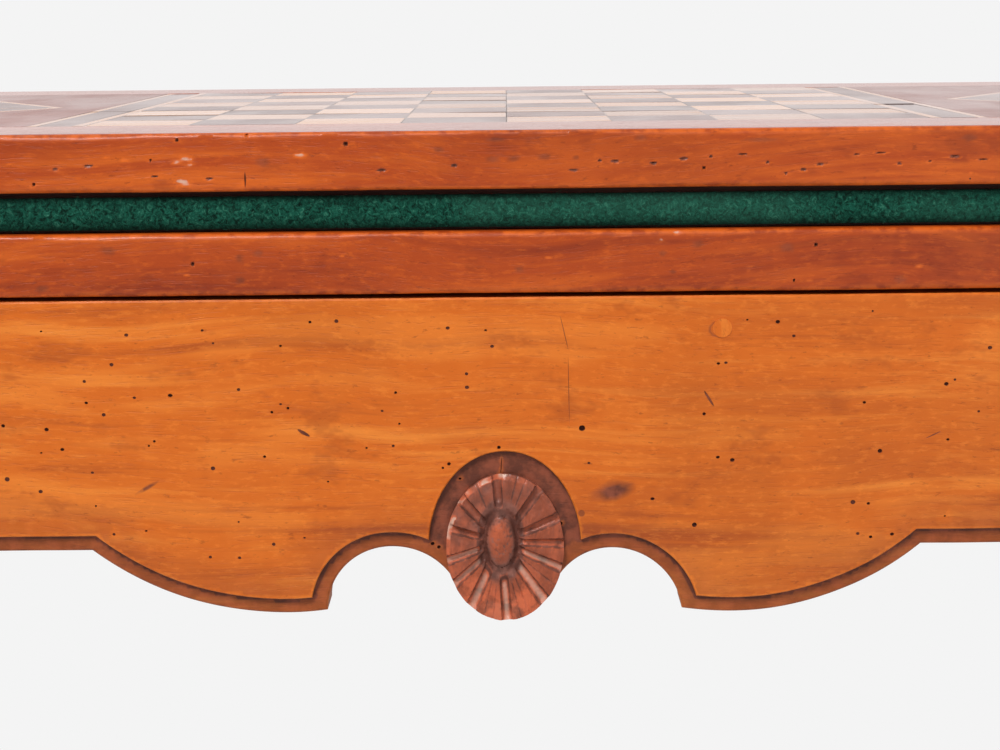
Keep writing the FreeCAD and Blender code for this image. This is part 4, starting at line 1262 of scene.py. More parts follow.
def leg_ring(s, z, seed):
    """One section of the front right leg, and the dirt and wear of its points."""
    if z > LEG_TOP:
        shift, half, radius = 0.0, s.post / 2, 1.0 * MM
    else:
        shift, half, radius = leg_size(z)
    shift_at = FRAME_HX - s.post / 2 + shift
    shift_y = -FRAME_HY + s.post / 2 - shift
    entry = s.knee + 12 * MM
    width = s.leg_band * clamp((entry - z) / (18 * MM))
    sunk = 1.5 * MM * clamp((entry - z) / (7 * MM))
    fade = clamp((z - 52 * MM) / (90 * MM))
    width = max(width * (0.55 + 0.45 * fade), radius * 0.9 + 0.6 * MM)
    sunk *= clamp((z - 52 * MM) / (30 * MM))
    ring, hollows, wear_and_highlights = [], [], []

    def put(u, v, inward_u, inward_v, hollow, worn):
        jitter = 0.12 * MM * ripple(u, v, z, 0.03, seed)
        ring.append((shift_at + u + inward_u - math.copysign(jitter, u),
                     shift_y + v + inward_v - math.copysign(jitter, v), z))
        hollows.append(hollow)
        wear_and_highlights.append(worn)

    straight = half - radius
    # the front face, from its inner edge outwards, with the sunk band beside that edge
    line = [-half + max(radius, width - 0.25 * MM), -half + width + 0.25 * MM]
    deep = [sunk, 0.0]
    for t in np.linspace(0.12, 1.0, 7):
        line.append(line[1] + (straight - line[1]) * t if t < 1 else straight)
        deep.append(0.0)
    put(-straight, -half, 0.0, sunk, 0.55 * (sunk > 0), 0.1)
    for k, (u, inward) in enumerate(zip(line, deep)):
        put(u, -half, 0.0, inward, 0.95 * (k == 0 and sunk > 0), 0.8 * (k == 1 and sunk > 0))
    for angle in (-67.5, -45, -22.5):
        turn = math.radians(angle)
        put(straight + radius * math.cos(turn), -straight + radius * math.sin(turn),
            0.0, 0.0, 0.0, 0.9)
    # the side face, mirrored about the leg's diagonal
    for k, (u, inward) in reversed(list(enumerate(zip(line, deep)))):
        put(half, -u, -inward, 0.0, 0.95 * (k == 0 and sunk > 0), 0.8 * (k == 1 and sunk > 0))
    put(half, straight, -sunk, 0.0, 0.55 * (sunk > 0), 0.1)
    for angle in (22.5, 45, 67.5):
        turn = math.radians(angle)
        put(straight + radius * math.cos(turn), straight + radius * math.sin(turn),
            -sunk * (1 - angle / 90), 0.0, 0.0, 0.5)
    for u in np.linspace(straight, -straight, 6):
        put(u, half, 0.0, 0.0, 0.1, 0.0)
    for angle in (112.5, 135, 157.5):
        turn = math.radians(angle)
        put(-straight + radius * math.cos(turn), straight + radius * math.sin(turn),
            0.0, 0.0, 0.0, 0.4)
    for v in np.linspace(straight, -straight, 6):
        put(-half, v, 0.0, 0.0, 0.1, 0.0)
    for angle in (202.5, 225, 247.5):
        turn = math.radians(angle)
        put(-straight + radius * math.cos(turn), -straight + radius * math.sin(turn),
            0.0, sunk * (angle - 180) / 90, 0.0, 0.5)
    return ring, hollows, wear_and_highlights


def carved_leg(s, corner, sign_x, sign_y, finish_material, seed):
    """A cabriole leg under a square post, with a sunk band along its inner edges."""
    heights = [0.0, 0.6 * MM, 1.8 * MM] + list(np.arange(4 * MM, 60 * MM, 4 * MM))
    heights += list(np.arange(60 * MM, 540 * MM, 8 * MM)) + list(
        np.arange(540 * MM, LEG_TOP, 2.0 * MM))
    heights += [LEG_TOP, 604.6 * MM] + list(np.arange(612 * MM, RAIL_TOP - 2 * MM, 14 * MM))
    heights += [RAIL_TOP - 0.6 * MM, RAIL_TOP]
    rings, hollows, wear_and_highlights = [], [], []
    for z in heights:
        ring, hollow, worn = leg_ring(s, z, seed)
        pull = 1.0
        if z < 1.5 * MM:
            pull = 0.95 + 0.05 * z / (1.5 * MM)
        elif z > RAIL_TOP - 0.3 * MM:
            pull = 0.975
        middle = Vector(np.mean(ring, axis=0))
        ring = [middle + (Vector(p) - middle) * pull for p in ring]
        rings.append([(sign_x * p[0], sign_y * p[1], z) for p in ring])
        grimy = max(0.0, 1 - z / (40 * MM)) * 0.5
        hollows += [min(1.0, h + grimy) for h in hollow]
        wear_and_highlights += worn
    points, faces = bridged(rings)
    return make_piece("carved_leg_" + corner, points, faces, finish_material, "frame",
                      {"hollow": hollows, "worn": wear_and_highlights}, ["leg_" + corner],
                      50.0)


# ---------------------------------------------------------------- leaves

def lattice_shell(xs, ys, zs, open_low=False):
    """The skin of a lattice of places: its points and its quads."""
    nx, ny, nz = len(xs), len(ys), len(zs)
    index = {}
    points = []

    def at(i, j, k):
        if (i, j, k) not in index:
            index[i, j, k] = len(points)
            points.append((xs[i], ys[j], zs[k]))
        return index[i, j, k]

    faces = []
    for i in range(nx - 1):
        for j in range(ny - 1):
            if not open_low:
                faces.append((at(i, j, 0), at(i, j + 1, 0), at(i + 1, j + 1, 0),
                              at(i + 1, j, 0)))
            k = nz - 1
            faces.append((at(i, j, k), at(i + 1, j, k), at(i + 1, j + 1, k), at(i, j + 1, k)))
    for i in range(nx - 1):
        for k in range(nz - 1):
            faces.append((at(i, 0, k), at(i + 1, 0, k), at(i + 1, 0, k + 1), at(i, 0, k + 1)))
            j = ny - 1
            faces.append((at(i, j, k), at(i, j, k + 1), at(i + 1, j, k + 1), at(i + 1, j, k)))
    for j in range(ny - 1):
        for k in range(nz - 1):
            faces.append((at(0, j, k), at(0, j, k + 1), at(0, j + 1, k + 1), at(0, j + 1, k)))
            i = nx - 1
            faces.append((at(i, j, k), at(i, j + 1, k), at(i, j + 1, k + 1), at(i, j, k + 1)))
    return points, faces


def worn_edge(point, z_low, z_high, wear, seed):
    """Round a leaf's outer edges, more in some places than in others, and let them wander."""
    x, y, z = point
    middle_z = (z_low + z_high) / 2
    half_z = (z_high - z_low) / 2
    radius = wear.arris * (0.95 + 0.55 * ripple(x, y, z_low, 0.05, seed)
                           + 0.25 * ripple(x, y, z_low, 0.012, seed))
    over_x = max(0.0, abs(x) - (LEAF_HX - radius))
    over_y = max(0.0, LEAF_FRONT + radius - y)
    over_z = max(0.0, abs(z - middle_z) - (half_z - radius))
    reach = math.sqrt(over_x ** 2 + over_y ** 2 + over_z ** 2)
    worn = 0.0
    if reach > radius * 1.001:
        pull = radius / reach
        x -= math.copysign(over_x * (1 - pull), x)
        y += over_y * (1 - pull)
        z -= math.copysign(over_z * (1 - pull), z - middle_z)
        # the rounded arris is lightened as wear and as a painted highlight
        worn = min(1.0, 1.35 - abs(over_z - max(over_x, over_y)) / radius)
    wander = wear.waviness * (0.5 + 0.5 * ripple(x, y, z, 0.11, seed + 2))
    fine = 0.08 * MM * (0.5 + 0.5 * ripple(x, y, z, 0.02, seed + 4))
    if over_y > radius * 0.5:
        y += wander * 0.6 + fine
    if over_x > radius * 0.5:
        x -= math.copysign(wander * 0.6 + fine, x)
    near = max(0.0, 1 - min(LEAF_HX - abs(x), y - LEAF_FRONT) / (22 * MM))
    if over_z > radius * 0.5:
        sag = wear.waviness * (0.5 + 0.5 * ripple(x, y, 0.0, 0.085, seed + 3 + (z > middle_z)))
        z -= math.copysign(sag * near ** 2 + 0.05 * MM, z - middle_z)
    return (x, y, z), worn


# depth in millimetres, dirt and rubbing of each kind of mark in the leaves' front edges
MARK_KINDS = {"hole": (1.2, 1.9, 0.0), "slit": (0.6, 1.45, 0.0), "pale": (0.03, 0.0, 1.15),
              "grey": (0.02, 0.4, 0.0), "chip": (0.35, 0.0, 1.8),
              "scuff": (0.02, 0.15, 1.9)}
# the few marks that are set one by one: pale patches, an old crack, holes and knots in the top
# leaf's edge; knots, a hole and a bruise in the lower leaf's. The rest are strewn by seed
TOP_FEW = ((-114, 11, 5.0, 3, "scuff"), (-115, 3.6, 4.6, 2.2, "scuff"),
           (-92, 4, 0.3, 3, "slit"), (-160, 9, 1.2, 0.4, "slit"), (-148, 10, 1.8, 0.4, "slit"),
           (-72, 13, 3, 1.2, "scuff"), (-168, 3.5, 0.6, 0.6, "hole"),
           (-116, 19, 0.7, 0.7, "hole"), (-91, 20.5, 0.7, 0.7, "hole"),
           (-2, 18, 4, 1.2, "grey"), (-3, 11, 3, 1.5, "grey"), (93, 17, 8, 0.9, "grey"))
LOWER_FEW = ((-95, 6, 1.9, 1.9, "grey"), (-95, 14, 1.9, 1.9, "grey"),
             (-112, 12, 0.7, 0.7, "hole"), (91, 8, 3.6, 1.7, "scuff"),
             (103, 16, 3, 2.4, "grey"), (57, 19, 2, 1.4, "scuff"))


def edge_marks(seed, slits, holes, few):
    """Marks of a leaf's front edge in millimetres: place along it, height over its underside,
    half width, half height and kind. The slits lie in a wandering row, closer on the right."""
    rng = random.Random(seed)
    marks = list(few)

    def clear(x, z):
        return all(abs(x - mark[0]) > 3.5 + mark[2] or abs(z - mark[1]) > 2 + mark[3]
                   for mark in marks)

    x = -LEAF_HX / MM + 12
    while slits and x < LEAF_HX / MM - 12:
        x += rng.uniform(5, 15) * (3.5 if x < 0 else 1.0)
        z = 8.5 + 6 * ripple(x, 0.0, 0.0, 45, seed) + rng.uniform(-3.5, 3.5)
        if clear(x, z):
            marks.append((x, z, rng.uniform(0.6, 2.0), rng.uniform(0.3, 0.6), "slit"))
    for kind, count, size, flat in (("hole", holes, 0.7, 1.0), ("grey", 16, 2.4, 0.6),
                                    ("pale", 18, 1.8, 0.35), ("chip", 9, 1.8, 0.3)):
        for _ in range(count):
            x = rng.uniform(-1, 1) * (LEAF_HX / MM - 10)
            z = rng.uniform(3, 19)
            if kind == "chip":
                z = rng.choice((0.6, (LOWER_HIGH.z - LOWER_LOW.z) / MM - 1.4))
            half = size * rng.uniform(0.6, 1.3)
            if clear(x, z):
                marks.append((x, z, half, half * flat * rng.uniform(0.8, 1.2), kind))
    return marks


def beside_marks(places, marks):
    """Places along X, with more of them where a mark lies."""
    across = np.linspace(-1.4, 1.4, 8)
    more = [(x + half * t) * MM for x, _, half, _, _ in marks for t in across]
    kept = []
    for place in sorted(list(places) + more):
        if not kept or place - kept[-1] > 0.12 * MM:
            kept.append(place)
    kept[-1] = places[-1]
    return kept


def dented(point, marks, z_low):
    """A place in a front edge, sunk where a mark lies, and the mark's dirt, wear and painted
    highlight there.
    """
    x, y, z = point
    hollow = worn = 0.0
    for at_x, at_z, half_x, half_z, kind in marks:
        u = (x / MM - at_x) / half_x
        if abs(u) > 1.8:
            continue
        v = ((z - z_low) / MM - at_z) / half_z
        size = math.hypot(u, v) * (1 + 0.35 * ripple(x, at_x * MM, z, 0.0012, 6))
        depth, dirt, rub = MARK_KINDS[kind]
        core = max(0.0, 1 - size ** 2)
        y += depth * MM * core
        full = min(1.0, core * (1.6 if dirt > 1 else 1.1))
        if kind == "scuff":
            full *= clamp(0.55 + 1.5 * ripple(x, 0.0, z * 3, 0.005, 8))
        hollow = max(hollow, dirt * full)
        worn = max(worn, rub * full)
        # a painted highlight on the lower lip of holes and slits
        if dirt > 1 and 1.0 < size < 1.7 and v < 0:
            worn = max(worn, 0.9)
    return (x, y, z), hollow, worn


def aged_points(places, marks, z_low, z_high, wear, seed):
    """Places of a leaf once its edges are rounded and its front edge marked, and the dirt, wear
    and painted highlights there."""
    points, hollows, wear_and_highlights = [], [], []
    for place in places:
        shaped, worn = worn_edge(place, z_low, z_high, wear, seed)
        hollow = 0.0
        if marks and place[1] < LEAF_FRONT + 0.1 * MM:
            shaped, hollow, mark = dented(shaped, marks, z_low)
            worn = max(worn, mark)
        points.append(shaped)
        hollows.append(hollow)
        wear_and_highlights.append(worn)
    return points, {"worn": wear_and_highlights, "hollow": hollows}


# the play left round everything that is let into a leaf
LET_IN_GAP = 0.25 * MM


def cut_out(piece, blocks):
    """Sink blocks, each given by its two corners, into a piece."""
    points, faces = [], []
    for low, high in blocks:
        more, sides = lattice_shell((low[0], high[0]), (low[1], high[1]), (low[2], high[2]))
        faces += [tuple(i + len(points) for i in side) for side in sides]
        points += more
    mesh = bpy.data.meshes.new("cutter")
    mesh.from_pydata(points, [], faces)
    cutter = placed("cutter", mesh)
    sink = piece.modifiers.new("sink", "BOOLEAN")
    sink.object = cutter
    sink.solver = "EXACT"
    graph = bpy.context.evaluated_depsgraph_get()
    cut = bpy.data.meshes.new_from_object(piece.evaluated_get(graph))
    piece.modifiers.clear()
    piece.data = cut
    bpy.data.objects.remove(cutter)
    cut.set_sharp_from_angle(angle=math.radians(38))


def hinge_spans():
    """The stretches along X that the hinge plates take."""
    low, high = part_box("hinge_plates_lower")
    width = 60 * MM
    return ((low.x, low.x + width), (high.x - width, high.x))


def lower_board(wear, finish_material):
    marks = edge_marks(3, False, 5, LOWER_FEW)
    xs = beside_marks(spread(-LEAF_HX, LEAF_HX, 4 * MM, wear.arris * 1.3), marks)
    ys = spread(LEAF_FRONT, LEAF_BACK, 20 * MM, wear.arris * 1.3)
    zs = spread(LOWER_LOW.z, LOWER_HIGH.z, 0.6 * MM, wear.arris * 1.3)
    lattice, faces = lattice_shell(xs, ys, zs)
    points, fields = aged_points(lattice, marks, LOWER_LOW.z, LOWER_HIGH.z, wear, 1)
    piece = make_piece("planed_lower_leaf", points, faces, finish_material, "lower_leaf",
                       fields, ["lower_leaf"])
    plate_low, plate_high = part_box("pivot_plate")
    gap = LET_IN_GAP
    hinge_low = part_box("hinge_plates_lower")[0]
    blocks = [((plate_low.x - gap, plate_low.y - gap, LOWER_LOW.z - 1 * MM),
               (plate_high.x + gap, plate_high.y + gap, plate_high.z + gap))]
    blocks += [((x0 - gap, hinge_low.y - gap, hinge_low.z - gap),
                (x1 + gap, LEAF_BACK + 1 * MM, LOWER_HIGH.z + 1 * MM))
               for x0, x1 in hinge_spans()]
    half = 10 * MM + gap
    blocks.append(((PIVOT.x - half, PIVOT.y - half, plate_high.z - 1 * MM),
                   (PIVOT.x + half, PIVOT.y + half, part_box("pivot_bolt")[1].z + gap)))
    peg_low, peg_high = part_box("stop_peg")
    blocks.append(((peg_low.x - gap, peg_low.y - gap, LOWER_LOW.z - 1 * MM),
                   (peg_high.x + gap, peg_high.y + gap, peg_high.z + gap)))
    cut_out(piece, blocks)
    return piece


def edge_strip(name, side, wear, finish_material):
    """One mitred strip of the frame round the inlaid top: front, back, left or right."""
    width_front = FIELD_FRONT - LEAF_FRONT
    width_back = LEAF_BACK - FIELD_BACK
    width_end = LEAF_HX - FIELD_HX
    seam = wear.tile_gap * 0.6
    marks = edge_marks(7, True, 7, TOP_FEW) if side == "front" else ()
    zs = spread(UPPER_Z, TOP_Z, (0.6 if marks else 3.0) * MM, wear.arris * 1.3)
    along = [place / LEAF_HX for place in beside_marks(
        spread(-LEAF_HX, LEAF_HX, 4 * MM, wear.arris * 1.3), marks)]
    across = [0.0, 0.7 * MM, 1.5 * MM, 3 * MM, 6 * MM, 12 * MM, 24 * MM, 36 * MM]
    width = {"front": width_front, "back": width_back}.get(side, width_end)
    across += [width - seam]
    if side in ("left", "right"):
        along = spread(-1.0, 1.0, 12 * MM / LEAF_HX, wear.arris * 2 / LEAF_HX)
    lattice, faces = lattice_shell(along, across, zs)
    places = []
    for u, d, z in lattice:
        if side == "front":
            place = (u * (LEAF_HX - d * width_end / width_front - seam), LEAF_FRONT + d, z)
        elif side == "back":
            place = (u * (LEAF_HX - d * width_end / width_back - seam), LEAF_BACK - d, z)
        else:
            low = LEAF_FRONT + d * width_front / width_end + seam
            high = LEAF_BACK - d * width_back / width_end - seam
            out = LEAF_HX - d
            place = (out if side == "right" else -out, (low + high) / 2 + u * (high - low) / 2,
                     z)
        places.append(place)
    points, fields = aged_points(places, marks, UPPER_Z, TOP_Z, wear, 11)
    node = {"front": "top_leaf_front_strip", "back": "top_leaf_back_strip"}.get(
        side, "top_leaf_end_strips")
    piece = make_piece(name, points, faces, finish_material, "top_leaf", fields, [node])
    if side == "back":
        low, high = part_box("hinge_plates_upper")
        gap = LET_IN_GAP
        cut_out(piece, [((x0 - gap, low.y - gap, UPPER_Z - 1 * MM),
                         (x1 + gap, LEAF_BACK + 1 * MM, high.z + gap))
                        for x0, x1 in hinge_spans()])
    return piece


# ---------------------------------------------------------------- inlays

def shrunk(corners, gap):
    """A convex outline moved inwards by a gap."""
    moved = []
    count = len(corners)
    middle = Vector(np.mean(corners, axis=0))
    for i in range(count):
        here = Vector(corners[i])
        before = (here - Vector(corners[i - 1])).normalized()
        after = (Vector(corners[(i + 1) % count]) - here).normalized()
        half = (after - before).normalized()
        if half.dot(middle - here) < 0:
            half = -half
        slant = max(0.25, abs(half.dot(Vector((-after.y, after.x)))))
        moved.append(tuple(here + half * gap / slant))
    return moved


def laid_tiles(name, outlines, wear, finish_material, node, slot, seed):
    """Thin pieces of veneer, each a little lower or more tilted than its neighbours."""
    rng = random.Random(seed)
    points, faces, edges = [], [], []
    chamfer = 0.12 * MM
    for outline in outlines:
        drop = wear.tile_lift * rng.random()
        tilt = [wear.tile_lift / SQUARE * rng.uniform(-0.8, 0.8) for _ in range(2)]
        middle = np.mean(outline, axis=0)
        outer = shrunk(outline, wear.tile_gap / 2)
        inner = shrunk(outline, wear.tile_gap / 2 + chamfer)
        face = shrunk(outline, wear.tile_gap / 2 + 0.7 * MM)
        first = len(points)
        count = len(outline)
        for ring, low, edge in ((outer, None, 1.0), (outer, chamfer, 1.0), (inner, 0.0, 0.8),
                                (face, 0.0, 0.0)):
            for x, y in ring:
                lean = tilt[0] * (x - middle[0]) + tilt[1] * (y - middle[1])
                top = TOP_Z - drop - max(-wear.tile_lift, min(wear.tile_lift, lean))
                z = INLAY_Z + 0.02 * MM if low is None else min(TOP_Z, top) - low
                points.append((x, y, z))
                edges.append(edge)
        faces += ring_quads(first, 4, count)
        faces.append(tuple(first + 3 * count + i for i in range(count)))
        faces.append(tuple(first + i for i in reversed(range(count))))
    return make_piece(name, points, faces, finish_material, "top_leaf", {"edge": edges},
                      [node], 25.0)


def rectangle(x0, x1, y0, y1):
    return [(x0, y0), (x1, y0), (x1, y1), (x0, y1)]


def board_squares(light):
    """The outlines of the squares of one colour; the near left one is light."""
    low = SQUARES_LOW
    outlines = []
    for column in range(8):
        for row in range(8):
            if ((column + row) % 2 == 0) == light:
                x = low.x + column * SQUARE
                y = low.y + row * SQUARE
                outlines.append(rectangle(x, x + SQUARE, y, y + SQUARE))
    return outlines


def strip_pair(node, inner_node):
    """The outlines of two strips beside the board, cut where their old joints are."""
    low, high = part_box(node)
    inner_low, inner_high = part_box(inner_node)
    outlines = []
    joints = [FIELD_FRONT, FIELD_FRONT + 0.37 * (FIELD_BACK - FIELD_FRONT), FIELD_BACK]
    for y0, y1 in zip(joints, joints[1:]):
        outlines.append(rectangle(low.x, inner_low.x, y0, y1))
        outlines.append(rectangle(inner_high.x, high.x, y0, y1))
    return outlines


# ---------------------------------------------------------------- baize

# how far the cloth is tucked in where it meets the wood
TUCK = 0.95 * MM


def pad_tuck(z):
    """How far the cloth's face lies back at a height: round, and tucked in at both woods."""
    low, high = PAD_LOW.z, UPPER_PAD_HIGH.z
    share_z = abs(2 * z - low - high) / (high - low)
    return TUCK * min(1.0, share_z) ** 2.6


def pad_surface(x, y, z, lower):
    """A place in the cloth, a little slack and lumpy, and how much painted shade it takes there.
    """
    lump = 0.16 * MM * (0.5 + 0.5 * ripple(x, y, z, 0.014, 21))
    lump += 0.10 * MM * (0.5 + 0.5 * ripple(x, y, z, 0.004, 22))
    tuck = pad_tuck(z)
    inward = tuck + lump
    side_x = PAD_HIGH.x - abs(x)
    side_y = y - PAD_LOW.y
    back_y = PAD_HIGH.y - y
    if side_x < 0.3 * MM:
        x -= math.copysign(inward, x)
    if side_y < 0.3 * MM:
        y += inward
    if back_y < 0.3 * MM:
        y -= inward
    if abs(z - HINGE_Z) < 0.1 * MM:
        margin = min(side_x, side_y, back_y)
        if margin > 2 * MM:
            sink = 0.15 * MM * (0.5 + 0.5 * ripple(x, y, z, 0.03, 23))
            z += -sink if lower else sink
    # the painted shade grows with the tuck, towards both woods
    return (x, y, z), (tuck / TUCK) ** 0.8


def baize_pad(name, lower, finish_material):
    """Cloth over a panel and down its four edges, open underneath."""
    foot = PAD_LOW.z if lower else UPPER_PAD_HIGH.z
    seam = HINGE_Z - 0.004 * MM if lower else HINGE_Z + 0.004 * MM
    edge = [0.0, 0.4 * MM, 1.0 * MM]
    xs = [PAD_LOW.x + e for e in edge]
    xs += list(np.linspace(PAD_LOW.x + 3 * MM, PAD_HIGH.x - 3 * MM, 280))
    xs += [PAD_HIGH.x - e for e in reversed(edge)]
    ys = [PAD_LOW.y + e for e in edge]
    ys += list(np.linspace(PAD_LOW.y + 3 * MM, PAD_HIGH.y - 3 * MM, 60))
    ys += [PAD_HIGH.y - e for e in reversed(edge)]
    zs = list(np.linspace(foot, seam, 12))
    lattice, faces = lattice_shell(xs, ys, zs, open_low=True)
    shaped = [pad_surface(x, y, z, lower) for x, y, z in lattice]
    if not lower:
        faces = [tuple(reversed(face)) for face in faces]
    body = "lower_leaf" if lower else "top_leaf"
    node = "lower_baize" if lower else "upper_baize"
    # the hollow field carries the painted shade along the woods
    return make_piece(name, [p for p, _ in shaped], faces, finish_material, body,
                      {"hollow": [d for _, d in shaped]}, [node], sharp=60.0,
                      closed=False)


def hair(points, faces, start, way, size, width, rng):
    """One flat hair of two bends."""
    side = way.cross(Vector((rng.uniform(-1, 1), rng.uniform(-1, 1), rng.uniform(-1, 1))))
    side = side.normalized() * width / 2
    place = start.copy()
    first = len(points)
    steps = 3
    for i in range(steps + 1):
        thin = 1 - 0.6 * i / steps
        points.append(tuple(place - side * thin))
        points.append(tuple(place + side * thin))
        curl = Vector((rng.gauss(0, 1), rng.gauss(0, 1), rng.gauss(0, 1))) * 0.45
        way = (way + curl).normalized()
        place = place + way * size / steps
    for i in range(steps):
        a = first + 2 * i
        faces.append((a, a + 1, a + 3, a + 2))


def loose_fibres(name, lower, wear, finish_material, seed):
    """Hairs that stand off the cloth's front and end edges: most are short and fine, a few
    long and thick."""
    rng = random.Random(seed)
    points, faces = [], []
    foot = PAD_LOW.z if lower else UPPER_PAD_HIGH.z
    width_x = PAD_HIGH.x - PAD_LOW.x
    width_y = PAD_HIGH.y - PAD_LOW.y
    for out, size in ((Vector((0, -1, 0)), 1.0), (Vector((1, 0, 0)), 0.4),
                      (Vector((-1, 0, 0)), 0.4)):
        for _ in range(int(wear.fibres * size)):
            z = HINGE_Z + (foot - HINGE_Z) * rng.random()
            inward = pad_tuck(z) + 0.2 * MM
            if out.y:
                place = Vector((PAD_LOW.x + width_x * rng.random(), PAD_LOW.y + inward, z))
            else:
                place = Vector((out.x * (PAD_HIGH.x - inward),
                                PAD_LOW.y + width_y * rng.random(), z))
            lie = Vector((rng.gauss(0, 1), rng.gauss(0, 1), rng.gauss(0, 1)))
            way = (out * rng.uniform(0.1, 0.7) + lie * 0.7).normalized()
            long = rng.random() < 0.06
            hair(points, faces, place, way, wear.nap * rng.uniform(0.4, 1.0) * (2 if long else 1),
                 rng.uniform(0.05, 0.09) * MM * (1.9 if long else 1), rng)
    # hairs cross the seam by this much, so that the two cloths look like one
    cross = 0.8 * MM
    low_z, high_z = (foot - 0.9 * MM, HINGE_Z + cross) if lower else (
        HINGE_Z - cross, foot + 1.2 * MM)
    points = [(min(LEAF_HX - 1 * MM, max(-LEAF_HX + 1 * MM, x)), max(LEAF_FRONT + 1 * MM, y),
               min(high_z, max(low_z, z))) for x, y, z in points]
    body = "lower_leaf" if lower else "top_leaf"
    return make_piece(name, points, faces, finish_material, body, closed=False)


def felt_square(points, faces, x, y, half, low, high, seed):
    """A thin square of felt with uneven cut edges."""
    places = list(np.linspace(-half, half, 13))
    lattice, sides = lattice_shell(places, places, (low, low + (high - low) * 0.5, high))
    first = len(points)
    for u, v, z in lattice:
        edge = max(abs(u), abs(v)) > half * 0.98
        pull = 1 - (0.02 + 0.015 * ripple(u, v, z, 0.004, seed)) * edge
        lift = 0.10 * MM * (0.5 + 0.5 * ripple(u, v, 0, 0.006, seed)) * (z > low)
        points.append((x + u * pull, y + v * pull, z - lift - 0.12 * MM * edge * (z > low)))
    faces += [tuple(i + first for i in side) for side in sides]


# ---------------------------------------------------------------- screws and nails

def slotted_head(points, faces, hollows, centre, out, radius, turn):
    """A countersunk screw head with a slot, its face turned outwards."""
    out = out.normalized()
    across = out.orthogonal().normalized()
    up = out.cross(across)
    rings, spokes = 9, 32
    first = len(points)

    def stand(u, v):
        size = math.hypot(u, v)
        slot_u = u * math.cos(turn) + v * math.sin(turn)
        in_slot = max(0.0, 1 - (abs(slot_u) / (0.13 * radius)) ** 6) if size < radius else 0.0
        height = 0.28 * MM * (1 - (size / radius) ** 2) - 0.75 * MM * in_slot
        place = centre + across * u + up * v + out * height
        points.append(tuple(place))
        hollows.append(0.9 * in_slot)

    stand(0.0, 0.0)
    for i in range(1, rings + 1):
        for j in range(spokes):
            angle = 2 * math.pi * j / spokes
            size = radius * (i / rings) ** 0.85
            stand(size * math.cos(angle), size * math.sin(angle))
    for j in range(spokes):
        points.append(tuple(Vector(points[first + 1 + (rings - 1) * spokes + j]) - out * MM))
        hollows.append(1.0)
    faces += [(first, first + 1 + j, first + 1 + (j + 1) % spokes) for j in range(spokes)]
    for i in range(rings):
        a = first + 1 + i * spokes
        for j in range(spokes):
            k = (j + 1) % spokes
            faces.append((a + j, a + spokes + j, a + spokes + k, a + k))


def screws(name, places, out, radius, finish_material, body, seed):
    """Screw heads at these places, each slot left at its own angle."""
    rng = random.Random(seed)
    points, faces, hollows = [], [], []
    for place in places:
        slotted_head(points, faces, hollows, Vector(place), Vector(out), radius,
                     rng.uniform(0, math.pi))
    return make_piece(name, points, faces, finish_material, body, {"hollow": hollows},
                      sharp=30.0, closed=False)


# ---------------------------------------------------------------- finishes by name

def finish_for(context, name):
    """The material of this name, made on first use from the colours in the panel."""
    found = bpy.data.materials.get(name)
    if found:
        return found
    c = context.scene.table_colours
    apron = (c.apron_dark, c.apron, c.apron_light, c.patina_and_shade)
    leaf = (c.leaf_dark, c.leaf, c.leaf_light, c.patina_and_shade)
    corner = (-SQUARES_LOW.x, -SQUARES_LOW.y, 0.0)
    flower = (shade(c.flower, 0.7), c.flower, shade(c.flower, 1.8), c.flower_dirt_and_shade)
    recipes = {
        "apron_wood_x": lambda: aged_wood(name, "X", *apron, worm=0.0),
        "rosette_wood": lambda: aged_wood(name, "Z", *flower, (0.1, 0.2, 0.3), worm=0.02),
        "apron_wood_y": lambda: aged_wood(name, "Y", *apron, (0.4, 0.9, 0.2), worm=0.06),
        "apron_wood_z": lambda: aged_wood(name, "Z", *apron, (0.7, 0.3, 0.5), worm=0.04),
        "leaf_wood_x": lambda: aged_wood(name, "X", *leaf, (1.3, 0.2, 0.8), streak=0.4,
                                         gloss=0.36, polished=True),
        "leaf_wood_y": lambda: aged_wood(name, "Y", *leaf, (0.6, 1.7, 0.4), streak=0.4,
                                         gloss=0.36, polished=True),
        "softwood_x": lambda: raw_wood(name, "X", c.softwood),
        "softwood_y": lambda: raw_wood(name, "Y", c.softwood),
        "softwood_z": lambda: raw_wood(name, "Z", c.softwood),
        "light_squares": lambda: veneer(name, "X", c.square_light, 0.3, (corner, SQUARE)),
        "dark_squares": lambda: veneer(name, "Y", c.square_dark, 0.35, (corner, SQUARE)),
        "light_lines": lambda: veneer(name, "Y", c.square_light, 0.15),
        "dark_lines": lambda: veneer(name, "Y", c.square_dark, 0.25),
        "side_veneer": lambda: veneer(name, "Y", c.panel, 0.3, coat=0.3),
        # near-black wood: dark joints where the core shows between the inlays, and painted shade
        # on the panels' feet in the rebates under the baize
        "glue_and_shade": lambda: raw_wood(name, "X", shade(c.square_dark, 0.5)),
        "green_baize": lambda: baize_cloth(name, c.baize, c.baize_light),
        "baize_hair": lambda: fibre_wool(name, c.baize, c.baize_light),
        "grey_felt": lambda: baize_cloth(name, FELT, RUBBED_FELT),
        "old_brass": lambda: old_brass(name, c.brass),
        "wrought_iron": lambda: forged_iron(name, c.iron),
    }
    return recipes[name]()


def finish_nodes(context, *rows):
    """Finish CAD nodes, each given by its name, its finish and its bevel in millimetres."""
    for node, finish, bevel in rows:
        finish_node(node, finish_for(context, finish), bevel * MM)


# ---------------------------------------------------------------- operators

